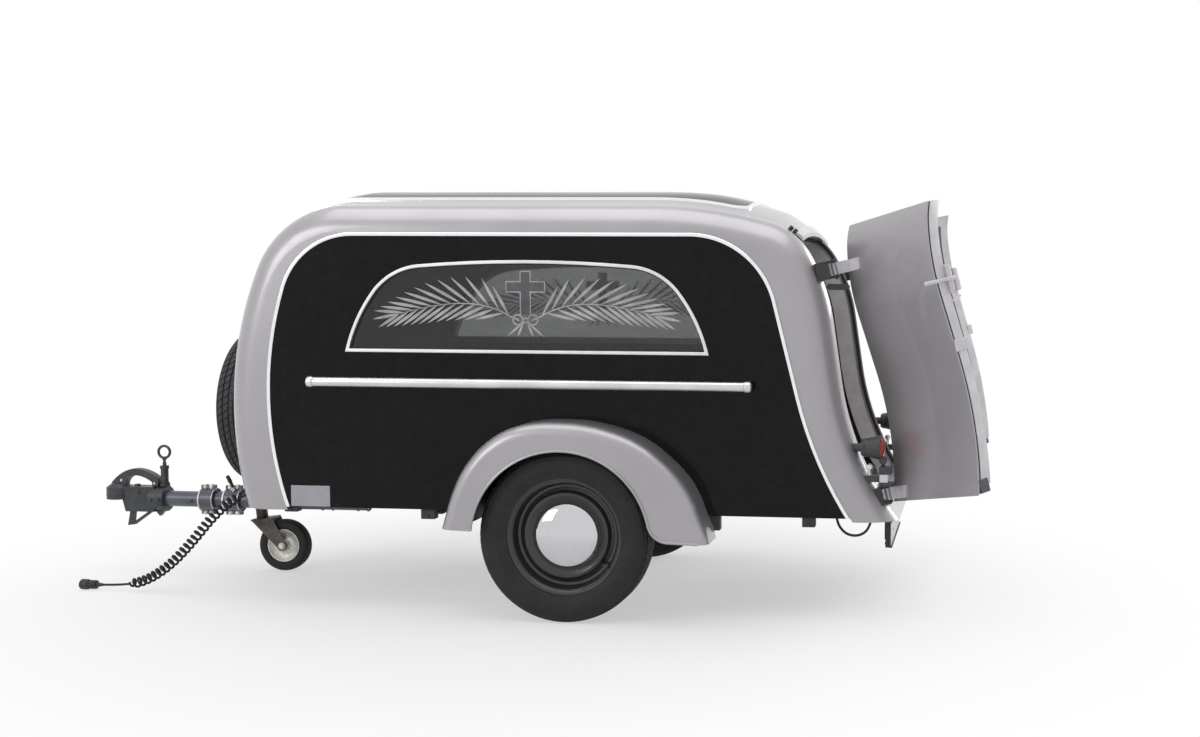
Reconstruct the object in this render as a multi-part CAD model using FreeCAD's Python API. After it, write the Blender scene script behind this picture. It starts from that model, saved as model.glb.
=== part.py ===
import FreeCAD, Part
import math
import os

# A single-axle hearse trailer: a rounded coach body on a light chassis, with two rear doors on
# leaning hinges, a braced drawbar with a ball coupling and a swivelling jockey wheel.
# While it is modelled, X runs to the rear from the axle, Y to the right-hand side and Z up from
# the floor. The last step moves the origin to the middle of the underside of the whole trailer.

# Overall body sizes, in millimetres
body_half_width = 520.0
body_front = 1235.0
body_rear = 1098.0
body_bottom = 340.0
body_top = 1392.0
shoulder_radius = 100.0
wall = 25.0
crown_height = 62.0
roof_panel_margin = 90.0
skirt_margin = 12.0
skirt_bottom = body_bottom + skirt_margin

# Wheels and axle
wheel_radius = 288.0
tyre_width = 138.0
rim_radius = 200.0
rim_width = 112.0
rim_wall = 8.0
hub_radius = 62.0
hubcap_radius = 126.0
hubcap_height = 46.0
wheel_side_offset = 56.0
wheel_plane = body_half_width + wheel_side_offset
axle_radius = 25.0
bearing_gap = 0.05

# Side window
window_centre = -162.0
window_half_width = 632.0
window_sill = 888.0
window_height = 315.0
window_frame_width = 24.0
window_glass_thickness = 5.0

# Rear doors
door_pillar_width = 90.0
door_hinge_y = body_half_width - door_pillar_width
door_hinge_reach = 65.75
door_hinge_height = 800.0
door_tilt = 13.8
door_open_angle = 136.0
door_thickness = 60.0
door_gap = 10.0
door_above_hinge_mark = 522.0
door_below_hinge_mark = 415.0
door_meeting_gap = 8.5

# Drawbar, coupling and jockey wheel
drawbar_radius = 30.0
drawbar_height = 287.0
coupling_length = 246.0
coupling_reach = 508.0
coupling_rear = body_front + coupling_reach
coupling_nose = coupling_rear + coupling_length
ball_socket_radius = 25.5
jockey_y = 100.0
jockey_reach = 199.0
jockey_x = -body_front - jockey_reach
jockey_mark_height = 355.0
jockey_lean = 7.0
jockey_stem_radius = 24.0
jockey_wheel_radius = 100.0
jockey_wheel_width = 50.0
jockey_trail = 80.0

# Floor and load deck
floor_rise = 60.0
floor_bottom = body_bottom + floor_rise
floor_thickness = 15.0
deck_height = 105.0
deck_top = floor_bottom + floor_thickness + deck_height
deck_half_width = 300.0

overrun = 20.0
seat_gap = 0.3

body_length = body_front + body_rear
body_height = body_top - body_bottom

nodes = {}


def point(x, y, z):
    return FreeCAD.Vector(x, y, z)


UP = point(0, 0, 1)
ACROSS = point(0, 1, 0)
ALONG = point(1, 0, 0)
CENTRE = point(0, 0, 0)


def mirrored(shape):
    return shape.mirror(CENTRE, ACROSS)


def both_sides(shape):
    return Part.makeCompound([shape, mirrored(shape)])


def block(x0, x1, y0, y1, z0, z1):
    return Part.makeBox(x1 - x0, y1 - y0, z1 - z0, point(x0, y0, z0))


def rod(start, end, radius):
    direction = end.sub(start)
    return Part.makeCylinder(radius, direction.Length, start, direction)


def fuse(shapes):
    result = shapes[0].multiFuse(shapes[1:])
    return result.removeSplitter()


def spline_edge(points):
    curve = Part.BSplineCurve()
    curve.interpolate(points)
    return curve.toShape()


def polygon_face(points):
    return Part.Face(Part.makePolygon(points + [points[0]]))


# The side outline of the body is a chain of tangent arcs and lines. Each step of a chain is a
# line's length, or an arc's radius and the angle it turns, where a hollow arc turns back.
front_bulge_radius = 1285.0
front_bulge_height = 690.0
front_corner_radius = 350.0
roof_rear_arc_start = 240.0
roof_rear_radius = 1550.0
roof_rear_angle = 15.7
rear_corner_radius = 232.0
rear_corner_angle = 44.3
rear_shoulder_radius = 620.0
rear_shoulder_angle = 21.7
rear_straight = 204.0
rear_flare_radius = 1000.0
rear_flare_angle = 32.0
front_tail_angle = 42.0
outline_tail = 200.0
longest_roof_share = 0.75


def tangent_chain(start, way, steps):
    # Headings are degrees below level, and way is 1 to the rear and -1 to the front
    edges = []
    place = start
    heading = 0.0
    for step in steps:
        angle = math.radians(heading)
        if len(step) == 1:
            end = place.add(point(way * math.cos(angle), 0, -math.sin(angle)).multiply(step[0]))
            edges.append(Part.LineSegment(place, end).toShape())
        else:
            radius, turn, hollow = step
            side = -1 if hollow else 1
            inward = point(-way * math.sin(angle), 0, -math.cos(angle)).multiply(side)
            centre = place.add(FreeCAD.Vector(inward).multiply(radius))

            def on_arc(share):
                new = math.radians(heading + side * turn * share)
                out = point(way * math.sin(new), 0, math.cos(new)).multiply(side)
                return centre.add(out.multiply(radius))

            end = on_arc(1)
            edges.append(Part.Arc(place, on_arc(0.5), end).toShape())
            heading += side * turn
        place = end
    return edges, place


def corner_centre_x(front, bulge_radius, bulge_height, corner_radius, top):
    # Where a corner arc touches both the level top and the bulged front
    reach = bulge_radius - corner_radius
    rise = top - corner_radius - bulge_height
    return front + bulge_radius - math.sqrt(reach * reach - rise * rise)


def corner_angle(bulge_radius, bulge_height, corner_radius, top):
    rise = top - corner_radius - bulge_height
    return math.degrees(math.acos(rise / (bulge_radius - corner_radius)))


front_corner_x = corner_centre_x(-body_front, front_bulge_radius, front_bulge_height,
                                 front_corner_radius, body_top)
front_corner_angle = corner_angle(front_bulge_radius, front_bulge_height, front_corner_radius,
                                  body_top)


def body_edges(inset):
    # The outline moved inwards by a distance, from the front bottom over the roof to the rear
    roof = body_top - inset
    start = point(front_corner_x, 0, roof)
    front, front_end = tangent_chain(start, -1, [
        (front_corner_radius - inset, front_corner_angle, False),
        (front_bulge_radius - inset, front_tail_angle, False), (outline_tail,)])
    rear, rear_end = tangent_chain(start, 1, [
        (roof_rear_arc_start - front_corner_x,),
        (roof_rear_radius - inset, roof_rear_angle, False),
        (rear_corner_radius - inset, rear_corner_angle, False),
        (rear_shoulder_radius - inset, rear_shoulder_angle, False),
        (rear_straight,),
        (rear_flare_radius + inset, rear_flare_angle, True), (outline_tail,)])
    return front + rear, front_end, rear_end


def closed_solid(edges, front_end, rear_end, half_width):
    closing = [Part.LineSegment(front_end, rear_end).toShape()]
    face = Part.Face(Part.Wire(Part.sortEdges(edges + closing)[0]))
    face.translate(point(0, -half_width, 0))
    return face.extrude(point(0, 2 * half_width, 0))


side_edges, side_front_end, side_rear_end = body_edges(0)
side_edges.append(Part.LineSegment(side_front_end, side_rear_end).toShape())
side_face = Part.Face(Part.Wire(Part.sortEdges(side_edges)[0]))


def rear_x(height):
    # Where the rear of the body is at a height
    line = Part.LineSegment(point(0, 0, height), point(2 * body_rear, 0, height)).toShape()
    return side_face.common(line).BoundBox.XMax


def body_solid(inset, half_width):
    edges, front_end, rear_end = body_edges(inset)
    return closed_solid(edges, front_end, rear_end, half_width)


def rounded_body_solid(inset, half_width, radius):
    solid = body_solid(inset, half_width)
    sides = [edge for edge in solid.Edges
             if abs(abs(edge.CenterOfMass.y) - half_width) < seat_gap
             and edge.BoundBox.XLength < body_length * longest_roof_share]
    return solid.makeFillet(radius, sides)


# The roof crown rises from the crease at the end of each shoulder. Each row is a place on the
# roof line, as a share of the way along one stretch of it, and the share of the crown's height.
crown_half_width = body_half_width - shoulder_radius
crown_seat = 6.0
crown_front_shares = [(0.80, 0.02), (0.60, 0.40), (0.40, 0.76), (0.20, 0.94), (0.0, 1.0)]
crown_flat_shares = [(0.33, 1.0), (0.67, 1.0), (1.0, 1.0)]
crown_rear_shares = [(0.5, 1.0), (1.0, 0.80)]
crown_corner_shares = [(0.35, 0.58), (0.75, 0.46), (1.0, 0.40)]


def arc_place(x, z, radius, angle):
    return point(x + radius * math.sin(math.radians(angle)), 0,
                 z + radius * math.cos(math.radians(angle)))


def crown_stations():
    stations = []
    corner_z = body_top - front_corner_radius
    for share, height in crown_front_shares:
        place = arc_place(front_corner_x, corner_z, front_corner_radius,
                          -front_corner_angle * share)
        stations.append((place, height))
    for share, height in crown_flat_shares:
        x = front_corner_x + (roof_rear_arc_start - front_corner_x) * share
        stations.append((point(x, 0, body_top), height))
    rear_z = body_top - roof_rear_radius
    for share, height in crown_rear_shares:
        place = arc_place(roof_rear_arc_start, rear_z, roof_rear_radius, roof_rear_angle * share)
        stations.append((place, height))
    inner = roof_rear_radius - rear_corner_radius
    centre = arc_place(roof_rear_arc_start, rear_z, inner, roof_rear_angle)
    for share, height in crown_corner_shares:
        place = arc_place(centre.x, centre.z, rear_corner_radius,
                          roof_rear_angle + rear_corner_angle * share)
        stations.append((place, height))
    return stations


def crown_solid(raised, half_width):
    wires = []
    for base, share in crown_stations():
        edge_height = base.z - crown_seat + raised
        middle_height = base.z + crown_height * share + raised
        left = point(base.x, -half_width, edge_height)
        right = point(base.x, half_width, edge_height)
        middle = point(base.x, 0, middle_height)
        foot_left = point(base.x, -half_width, edge_height - wall)
        foot_right = point(base.x, half_width, edge_height - wall)
        edges = [Part.Arc(left, middle, right).toShape(),
                 Part.LineSegment(right, foot_right).toShape(),
                 Part.LineSegment(foot_right, foot_left).toShape(),
                 Part.LineSegment(foot_left, left).toShape()]
        wires.append(Part.Wire(edges))
    return Part.makeLoft(wires, True, False)


# The bright line round the black side panel follows the outline more loosely
trim_front_margin = 160.0
trim_top_margin = 97.0
trim_front = body_front - trim_front_margin
trim_top = body_top - trim_top_margin
trim_bulge_radius = 1217.0
trim_bulge_height = 740.0
trim_corner_radius = 268.0
trim_rear_arc_start = 400.0
trim_rear_radius = 300.0
trim_rear_angle = 76.0
trim_straight = 322.0
trim_flare_radius = 1371.0
trim_flare_angle = 22.0
trim_tail_angle = 42.0
trim_corner_x = corner_centre_x(-trim_front, trim_bulge_radius, trim_bulge_height,
                                trim_corner_radius, trim_top)
trim_corner_angle = corner_angle(trim_bulge_radius, trim_bulge_height, trim_corner_radius, trim_top)


def trim_edges(inset):
    start = point(trim_corner_x, 0, trim_top - inset)
    front, front_end = tangent_chain(start, -1, [
        (trim_corner_radius - inset, trim_corner_angle, False),
        (trim_bulge_radius - inset, trim_tail_angle, False)])
    rear, rear_end = tangent_chain(start, 1, [
        (trim_rear_arc_start - trim_corner_x,),
        (trim_rear_radius - inset, trim_rear_angle, False),
        (trim_straight,),
        (trim_flare_radius + inset, trim_flare_angle, True)])
    return front + rear, front_end, rear_end


def trim_plate(inset, outer_y, inner_y, bottom):
    # A plate of the side panel's outline on the left side, cut level at its bottom
    edges, front_end, rear_end = trim_edges(inset)
    solid = closed_solid(edges, front_end, rear_end, (outer_y - inner_y) / 2)
    solid.translate(point(0, -(outer_y + inner_y) / 2, 0))
    slab = block(-body_front - overrun, body_rear + body_front, -outer_y - overrun,
                 -inner_y + overrun, -body_height, bottom)
    return solid.cut(slab)


# Door axis frame
tilt = math.radians(door_tilt)
door_axis = point(-math.sin(tilt), 0, math.cos(tilt))
door_outward = point(math.cos(tilt), 0, math.sin(tilt))
door_hinge_x = rear_x(door_hinge_height) + door_hinge_reach
hinge_mark = point(door_hinge_x, -door_hinge_y, door_hinge_height)


def at_hinge(along_axis, outward, inboard):
    # A place given along the left hinge axis, outward from it and inboard from it
    place = hinge_mark.add(FreeCAD.Vector(door_axis).multiply(along_axis))
    place = place.add(FreeCAD.Vector(door_outward).multiply(outward))
    return place.add(point(0, inboard, 0))


def hinge_block(axis_low, axis_high, out_low, out_high, in_low, in_high):
    corners = [at_hinge(axis_low, out_low, in_low), at_hinge(axis_high, out_low, in_low),
               at_hinge(axis_high, out_high, in_low), at_hinge(axis_low, out_high, in_low)]
    return polygon_face(corners).extrude(point(0, in_high - in_low, 0))


door_reach = 400.0
doorway_low = -(door_below_hinge_mark + door_gap)
doorway_high = door_above_hinge_mark + door_gap
doorway = hinge_block(doorway_low, doorway_high, -door_reach, door_reach, 0, 2 * door_hinge_y)


trim_width = 13.0
trim_proud = 5.0
panel_gap = 0.3
front_split_share = 0.335
rear_split_share = 0.2
inner_side = body_half_width - wall
high = body_top + body_height
ground = block(-body_front - overrun, body_rear + body_front, -body_front, body_front,
               -body_height, body_bottom)


def build_shell():
    outer = rounded_body_solid(0, body_half_width, shoulder_radius)
    inner = rounded_body_solid(wall, inner_side, shoulder_radius - wall)
    crown = crown_solid(0, crown_half_width)
    hollow_crown = crown_solid(-wall, crown_half_width - wall)
    made = outer.fuse(crown)
    made = made.cut(inner)
    made = made.cut(hollow_crown)
    side_cut = trim_plate(0, body_half_width + overrun, inner_side - overrun, 0)
    made = made.cut(side_cut).cut(mirrored(side_cut))
    rear_half = block(door_hinge_x - door_reach, body_rear + door_reach, -door_hinge_y,
                      door_hinge_y, 0, high)
    made = made.cut(doorway.common(rear_half))
    return made.cut(ground)


shell = build_shell()
front_split = -front_split_share * body_length
rear_split = rear_split_share * body_length
front_part = block(-body_front - overrun, front_split, -body_half_width, body_half_width, 0, high)
roof_part = block(front_split, rear_split, -body_half_width, body_half_width, 0, high)
rear_part = block(rear_split, body_rear + overrun, -body_half_width, body_half_width, 0, high)
nodes["front_shell"] = shell.common(front_part)
nodes["roof_shell"] = shell.common(roof_part)
nodes["rear_shell"] = shell.common(rear_part)

# Black roof panel with a bright edge
roof_panel_thickness = 4.0
roof_trim_width = 14.0
roof_trim_height = 8.0
roof_panel_front_margin = 195.0
roof_panel_front = body_front - roof_panel_front_margin
roof_panel_rear = 560.0
roof_panel_half_width = crown_half_width - roof_panel_margin
roof_corner_radius = 60.0


def plan_prism(front, rear, half_width, corner):
    solid = block(-front, rear, -half_width, half_width, body_bottom, high)
    edges = [edge for edge in solid.Edges if abs(edge.tangentAt(edge.FirstParameter).z) > 0.9]
    return solid.makeFillet(corner, edges)


crown_top = crown_solid(0, crown_half_width)
panel_layer = crown_solid(roof_panel_thickness, crown_half_width).cut(crown_top)
trim_layer = crown_solid(roof_trim_height, crown_half_width).cut(crown_top)
panel_plan = plan_prism(roof_panel_front, roof_panel_rear, roof_panel_half_width,
                        roof_corner_radius)
trim_plan = plan_prism(roof_panel_front + roof_trim_width, roof_panel_rear + roof_trim_width,
                       roof_panel_half_width + roof_trim_width,
                       roof_corner_radius + roof_trim_width)
nodes["roof_panel"] = panel_layer.common(panel_plan)
nodes["roof_trim"] = trim_layer.common(trim_plan).cut(panel_plan)

# Black side panels with the window and a recess for the wheel
arch_clearance = 30.0
arch_radius = wheel_radius + arch_clearance
arch_skin = 4.0


def window_face(shrink):
    # A half ellipse on a straight sill, moved inwards by a distance
    half_width = window_half_width - 2 * shrink
    height = window_height - 2 * shrink
    sill = window_sill + shrink
    ellipse = Part.Ellipse(point(window_centre, 0, sill), half_width, height)
    ellipse.Axis = ACROSS * -1
    ellipse.XAxis = ALONG
    arc = Part.ArcOfEllipse(ellipse, 0, math.pi)
    left = point(window_centre - half_width, 0, sill)
    right = point(window_centre + half_width, 0, sill)
    return Part.Face(Part.Wire([arc.toShape(), Part.LineSegment(left, right).toShape()]))


def plate(face, outer_y, inner_y):
    # A face drawn in the middle plane, made a plate on the left side of the body
    moved = face.copy()
    moved.translate(point(0, -outer_y, 0))
    return moved.extrude(point(0, outer_y - inner_y, 0))


panel = trim_plate(panel_gap, body_half_width, inner_side, skirt_bottom)
window_hole = plate(window_face(0), body_half_width + overrun, inner_side - overrun)
panel = panel.cut(window_hole)
arch = Part.makeCylinder(arch_radius, wall + overrun - arch_skin,
                         point(0, -body_half_width - overrun, wheel_radius), ACROSS)
panel = panel.cut(arch)
nodes["side_panel_left"] = panel
nodes["side_panel_right"] = mirrored(panel)

# The bright bead stands on the joint between the silver shell and the black panel
bead = trim_plate(0, body_half_width + trim_proud, body_half_width, skirt_bottom)
bead = bead.cut(trim_plate(trim_width, body_half_width + overrun, body_half_width - overrun, 0))
nodes["side_trim"] = both_sides(bead)

# Window frame and glass
frame = plate(window_face(0), body_half_width + trim_proud, inner_side)
frame = frame.cut(plate(window_face(window_frame_width), body_half_width + overrun,
                        inner_side - overrun))
nodes["window_frames"] = both_sides(frame)
glass_y = body_half_width - wall / 2
glass = plate(window_face(window_frame_width), glass_y + window_glass_thickness / 2,
              glass_y - window_glass_thickness / 2)
nodes["window_glass"] = both_sides(glass)

# Handrails
rail_radius = 17.0
rail_cap_radius = 20.0
rail_front = -897.0
rail_rear = 606.0
rail_height = 788.0
rail_stand = 45.0
rail_cap_length = 26.0
rail_post_radius = 9.0
rail_post_count = 4


def handrail():
    y = -(body_half_width + rail_stand)
    parts = [rod(point(rail_front, y, rail_height), point(rail_rear, y, rail_height), rail_radius)]
    for x, way in ((rail_front, 1), (rail_rear, -1)):
        parts.append(rod(point(x - way * rail_cap_length / 2, y, rail_height),
                         point(x + way * rail_cap_length / 2, y, rail_height), rail_cap_radius))
    for index in range(rail_post_count):
        share = (index + 0.5) / rail_post_count
        x = rail_front + (rail_rear - rail_front) * share
        parts.append(rod(point(x, -body_half_width, rail_height), point(x, y, rail_height),
                         rail_post_radius))
    return fuse(parts)


nodes["handrails"] = both_sides(handrail())

# Mudguards: a rounded skirt round the wheel that sweeps back behind it
guard_width = 160.0
guard_outer_y = body_half_width + guard_width
guard_shoulder = 42.0
guard_skin = 5.0
guard_opening_clearance = 12.0
guard_opening = wheel_radius + guard_opening_clearance
guard_opening_drop = 10.5
guard_shares = [(-1.03, 0.10), (-1.0, 0.20), (-0.94, 0.40), (-0.80, 0.665), (-0.59, 0.87),
                (-0.395, 0.965), (-0.215, 1.0), (-0.02, 1.006), (0.165, 0.995), (0.405, 0.945),
                (0.645, 0.85), (0.85, 0.70), (1.01, 0.535), (1.105, 0.38), (1.165, 0.225),
                (1.215, 0.11), (1.235, 0.02)]
guard_reach = 110.0
guard_radius = wheel_radius + guard_reach
guard_drop = 18.0
guard_centre_height = wheel_radius - guard_drop


def guard_points(inset):
    radius = guard_radius - inset
    return [point(along * radius, 0, guard_centre_height + up * radius)
            for along, up in guard_shares]


def guard_solid(inset, outer_y, inner_y, radius):
    points = guard_points(inset)
    edges = [spline_edge(points), Part.LineSegment(points[-1], points[0]).toShape()]
    solid = plate(Part.Face(Part.Wire(edges)), outer_y, inner_y)
    rounded = [edge for edge in solid.Edges
               if edge.Curve.TypeId == "Part::GeomBSplineCurve"
               and edge.CenterOfMass.y < -outer_y + seat_gap]
    return solid.makeFillet(radius, rounded)


guard = guard_solid(0, guard_outer_y, body_half_width, guard_shoulder)
guard = guard.cut(guard_solid(guard_skin, guard_outer_y - guard_skin, body_half_width - overrun,
                              guard_shoulder - guard_skin))
opening = Part.makeCylinder(guard_opening, guard_width + overrun,
                            point(0, -guard_outer_y - overrun, wheel_radius - guard_opening_drop),
                            ACROSS)
opening_low = block(-guard_opening, guard_opening, -guard_outer_y - overrun,
                    -body_half_width, 0, wheel_radius)
guard = guard.cut(opening).cut(opening_low)
nodes["mudguard_left"] = guard
nodes["mudguard_right"] = mirrored(guard)


# Wheels
def revolve_profile(points):
    # A closed profile of distance from the Y axis and place along it, turned round that axis
    return polygon_face(points).revolve(CENTRE, ACROSS, 360)


tyre_bead_depth = 8.0
tyre_bead_radius = rim_radius - tyre_bead_depth
tyre_bulge_share = 0.47
tyre_shoulder_share = 0.09
rim_lip = 10.0
tyre_bead_width = rim_width - 2 * rim_lip - 2 * seat_gap
tyre_shoulder_width = 112.0


def tyre_solid():
    # Modelled about the Y axis at the origin, then moved into place
    half = tyre_width / 2
    section_height = wheel_radius - tyre_bead_radius
    bead = point(tyre_bead_radius, -tyre_bead_width / 2, 0)
    heel = point(rim_radius + seat_gap, -tyre_bead_width / 2, 0)
    bulge = point(tyre_bead_radius + section_height * tyre_bulge_share, -half, 0)
    shoulder = point(wheel_radius - section_height * tyre_shoulder_share,
                     -tyre_shoulder_width / 2, 0)
    crown = point(wheel_radius, 0, 0)
    other_bead = point(bead.x, -bead.y, 0)
    other_heel = point(heel.x, -heel.y, 0)
    other_bulge = point(bulge.x, -bulge.y, 0)
    other_shoulder = point(shoulder.x, -shoulder.y, 0)
    edges = [Part.LineSegment(bead, heel).toShape(),
             Part.Arc(heel, bulge, shoulder).toShape(),
             Part.Arc(shoulder, crown, other_shoulder).toShape(),
             Part.Arc(other_shoulder, other_bulge, other_heel).toShape(),
             Part.LineSegment(other_heel, other_bead).toShape(),
             Part.LineSegment(other_bead, bead).toShape()]
    return Part.Face(Part.Wire(edges)).revolve(CENTRE, ACROSS, 360)


disc_thickness = 7.0
disc_offset = 18.0


def rim_solid():
    # Open barrel with turned-out lips and a pressed disc, the outside toward -Y
    half = rim_width / 2
    seat = tyre_bead_radius - seat_gap
    inner = seat - rim_wall
    profile = [point(seat, -half + rim_lip, 0), point(rim_radius, -half + rim_lip - seat_gap, 0),
               point(rim_radius, -half, 0), point(inner, -half, 0), point(inner, half, 0),
               point(rim_radius, half, 0), point(rim_radius, half - rim_lip + seat_gap, 0),
               point(seat, half - rim_lip, 0)]
    barrel = revolve_profile(profile)
    front = -disc_offset
    disc = [point(0, front, 0), point(hub_radius, front, 0),
            point(hub_radius + rim_lip, front - rim_lip, 0),
            point(hubcap_radius - rim_lip, front - rim_lip, 0),
            point(inner, front + disc_offset, 0),
            point(inner, front + disc_offset + disc_thickness, 0),
            point(hubcap_radius - rim_lip, front - rim_lip + disc_thickness, 0),
            point(hub_radius + rim_lip, front - rim_lip + disc_thickness, 0),
            point(hub_radius, front + disc_thickness, 0), point(0, front + disc_thickness, 0)]
    disc_shape = revolve_profile(disc)
    return fuse([barrel, disc_shape])


def hubcap_solid():
    # A shallow dome cut from a ball, with its rim against the disc
    edge = -disc_offset - rim_lip - seat_gap
    rise = hubcap_height
    radius = hubcap_radius - rim_lip
    ball_radius = (radius * radius + rise * rise) / (2 * rise)
    ball = Part.makeSphere(ball_radius, point(0, edge - rise + ball_radius, 0))
    barrel = Part.makeCylinder(radius, 2 * rise, point(0, edge, 0), ACROSS * -1)
    return ball.common(barrel)


drum_radius = 110.0
drum_width = 55.0


def hub_solid():
    # Brake drum and hub with its bearing bore, inboard of the disc
    face = -disc_offset + disc_thickness + seat_gap
    drum = Part.makeCylinder(drum_radius, drum_width, point(0, face, 0), ACROSS)
    bore = Part.makeCylinder(axle_radius + bearing_gap, drum_width + overrun,
                             point(0, face + disc_thickness, 0), ACROSS)
    return drum.cut(bore)


def place_wheel(shape):
    moved = shape.copy()
    moved.translate(point(0, -wheel_plane, wheel_radius))
    return moved


tyre = place_wheel(tyre_solid())
rim = place_wheel(rim_solid())
hubcap = place_wheel(hubcap_solid())
hub = place_wheel(hub_solid())
for side, placed in (("left", lambda shape: shape), ("right", mirrored)):
    nodes["tyre_" + side] = placed(tyre)
    nodes["rim_" + side] = placed(rim)
    nodes["hubcap_" + side] = placed(hubcap)
    nodes["hub_drum_" + side] = placed(hub)

# Axle beam, its stubs in the hubs, and the leaf springs that carry it
axle_end_gap = 1.2
axle_end = wheel_plane + disc_offset - 2 * disc_thickness - axle_end_gap
backplate_gap = 6.0
backplate_thickness = 8.0
backplate_share = 0.9
drum_inner_y = wheel_plane + disc_offset - disc_thickness - seat_gap - drum_width
axle = rod(point(0, -axle_end, wheel_radius), point(0, axle_end, wheel_radius), axle_radius)
backplate = rod(point(0, -drum_inner_y + backplate_gap, wheel_radius),
                point(0, -drum_inner_y + backplate_gap + backplate_thickness, wheel_radius),
                drum_radius * backplate_share)
nodes["axle_beam"] = fuse([axle, backplate, mirrored(backplate)])

spring_inset = 120.0
spring_y = body_half_width - spring_inset
spring_width = 45.0
spring_leaf = 7.0
spring_front = -512.0
spring_rear = 462.0
rail_width = 40.0
rail_depth = 48.0
hanger_width = 52.0
hanger_length = 44.0
hanger_overlap = 8.4
spring_reach_shares = (0.42, 0.72, 1.0)


def spring_side():
    y0 = -spring_y - spring_width / 2
    y1 = -spring_y + spring_width / 2
    seat = wheel_radius + axle_radius + seat_gap
    leaves = []
    for index, share in enumerate(spring_reach_shares):
        low = seat + index * spring_leaf
        leaves.append(block(spring_front * share, spring_rear * share, y0, y1, low,
                            low + spring_leaf))
    pack = fuse(leaves)
    hangers = []
    for x in (spring_front, spring_rear):
        plate_low = seat + hanger_overlap
        cheek = block(x - hanger_length / 2, x + hanger_length / 2, -spring_y - hanger_width / 2,
                      -spring_y + hanger_width / 2, plate_low, floor_bottom - rail_depth)
        hangers.append(cheek)
    return fuse([pack] + hangers)


nodes["leaf_springs"] = both_sides(spring_side())

# Chassis: two long rails, cross members and the braces of the drawbar
rail_front_margin = 115.0
rail_rear_margin = 139.8
cross_spacing = 140.0
axle_cross_spacing = 330.0
saddle_margin = 12.0
rail_front_end = -body_front + rail_front_margin
rail_rear_end = rear_x(body_bottom) - rail_rear_margin
drawbar_rear = rail_front_end + cross_spacing + rail_width
cross_places = (rail_front_end, rail_front_end + cross_spacing, -axle_cross_spacing,
                axle_cross_spacing, rail_rear_end - rail_width)
rail_low = floor_bottom - rail_depth


def chassis():
    left_rail = block(rail_front_end, rail_rear_end, -spring_y - rail_width / 2,
                      -spring_y + rail_width / 2, rail_low, floor_bottom)
    parts = [left_rail, mirrored(left_rail)]
    for x in cross_places:
        parts.append(block(x, x + rail_width, -spring_y, spring_y, rail_low, floor_bottom))
    return fuse(parts)


nodes["chassis_frame"] = chassis()
saddle_half = drawbar_radius + saddle_margin
drawbar = rod(point(-coupling_rear - overrun, 0, drawbar_height),
              point(drawbar_rear, 0, drawbar_height), drawbar_radius)
saddles = []
for x in (rail_front_end, drawbar_rear - rail_width):
    saddles.append(block(x, x + rail_width, -saddle_half, saddle_half, drawbar_height,
                         rail_low))
nodes["drawbar"] = fuse([drawbar] + saddles)

# Floor of the load space and the raised slide deck
floor_side = inner_side - seat_gap
floor_front_margin = 85.0
floor_rear_margin = 5.0
floor_front = -body_front + floor_front_margin
floor_rear = rail_rear_end - floor_rear_margin
inside = rounded_body_solid(wall + seat_gap, inner_side - seat_gap, shoulder_radius - wall)
floor = block(floor_front, floor_rear, -floor_side, floor_side, floor_bottom,
              floor_bottom + floor_thickness)
nodes["floor_panel"] = floor.common(inside)
deck_front_margin = 155.0
deck_rear_margin = 100.0
deck_front = -body_front + deck_front_margin
deck_rear = rail_rear_end - deck_rear_margin
deck_board = 18.0
slide_width = 40.0
slide_height = 6.0
bearer_width = 44.0
bearer_margin = 60.0
bearer_places = (-deck_half_width + bearer_margin, deck_half_width - bearer_margin)


def deck():
    board_top = deck_top - slide_height
    parts = [block(deck_front, deck_rear, -deck_half_width, deck_half_width,
                   board_top - deck_board, board_top)]
    for y in bearer_places:
        parts.append(block(deck_front, deck_rear, y - bearer_width / 2, y + bearer_width / 2,
                           floor_bottom + floor_thickness, board_top - deck_board))
    return fuse(parts)


nodes["load_deck"] = deck()
slides = [block(deck_front, deck_rear, y - slide_width / 2, y + slide_width / 2,
                deck_top - slide_height, deck_top) for y in bearer_places]
nodes["deck_slides"] = Part.makeCompound(slides)

# Door frame inside the rear opening
frame_depth = 60.0
frame_width = 40.0


def band(start, end, half_width):
    return body_solid(start, half_width).cut(body_solid(end, half_width + overrun))


def door_frame():
    ring = band(wall + seat_gap, wall + frame_depth, door_hinge_y + frame_width)
    zone = hinge_block(doorway_low - frame_width, doorway_high + frame_width, -door_reach,
                       door_reach, -frame_width, 2 * door_hinge_y + frame_width)
    ring = ring.common(zone)
    ring = ring.cut(block(-body_front, rear_split + overrun, -body_half_width, body_half_width,
                          0, high))
    ring = ring.common(inside)
    ring = ring.cut(block(-body_front, body_rear + overrun, -body_half_width, body_half_width,
                          -body_height, rail_low + seat_gap))
    return ring.cut(doorway)


nodes["door_frame"] = door_frame()
nodes["floor_panel"] = nodes["floor_panel"].cut(nodes["door_frame"])


# Rear doors, modelled shut and then swung open
leaf_sweep_clearance = 5.0
hinge_places = (-385.0, 390.0)
knuckle_radius = 11.0
knuckle_length = 40.0
pin_radius = 5.0
hinge_lug = 8.5
hinge_side_gap = 1.5
hinge_strap_reach = 75.0
hinge_strap_thickness = 6.0
hinge_neck = 6.0
hinge_web_back = 17.0
hinge_depth = 60.0
bracket_lap = 4.0


def axis_cylinder(low, high, radius):
    return rod(at_hinge(low, 0, 0), at_hinge(high, 0, 0), radius)


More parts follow.
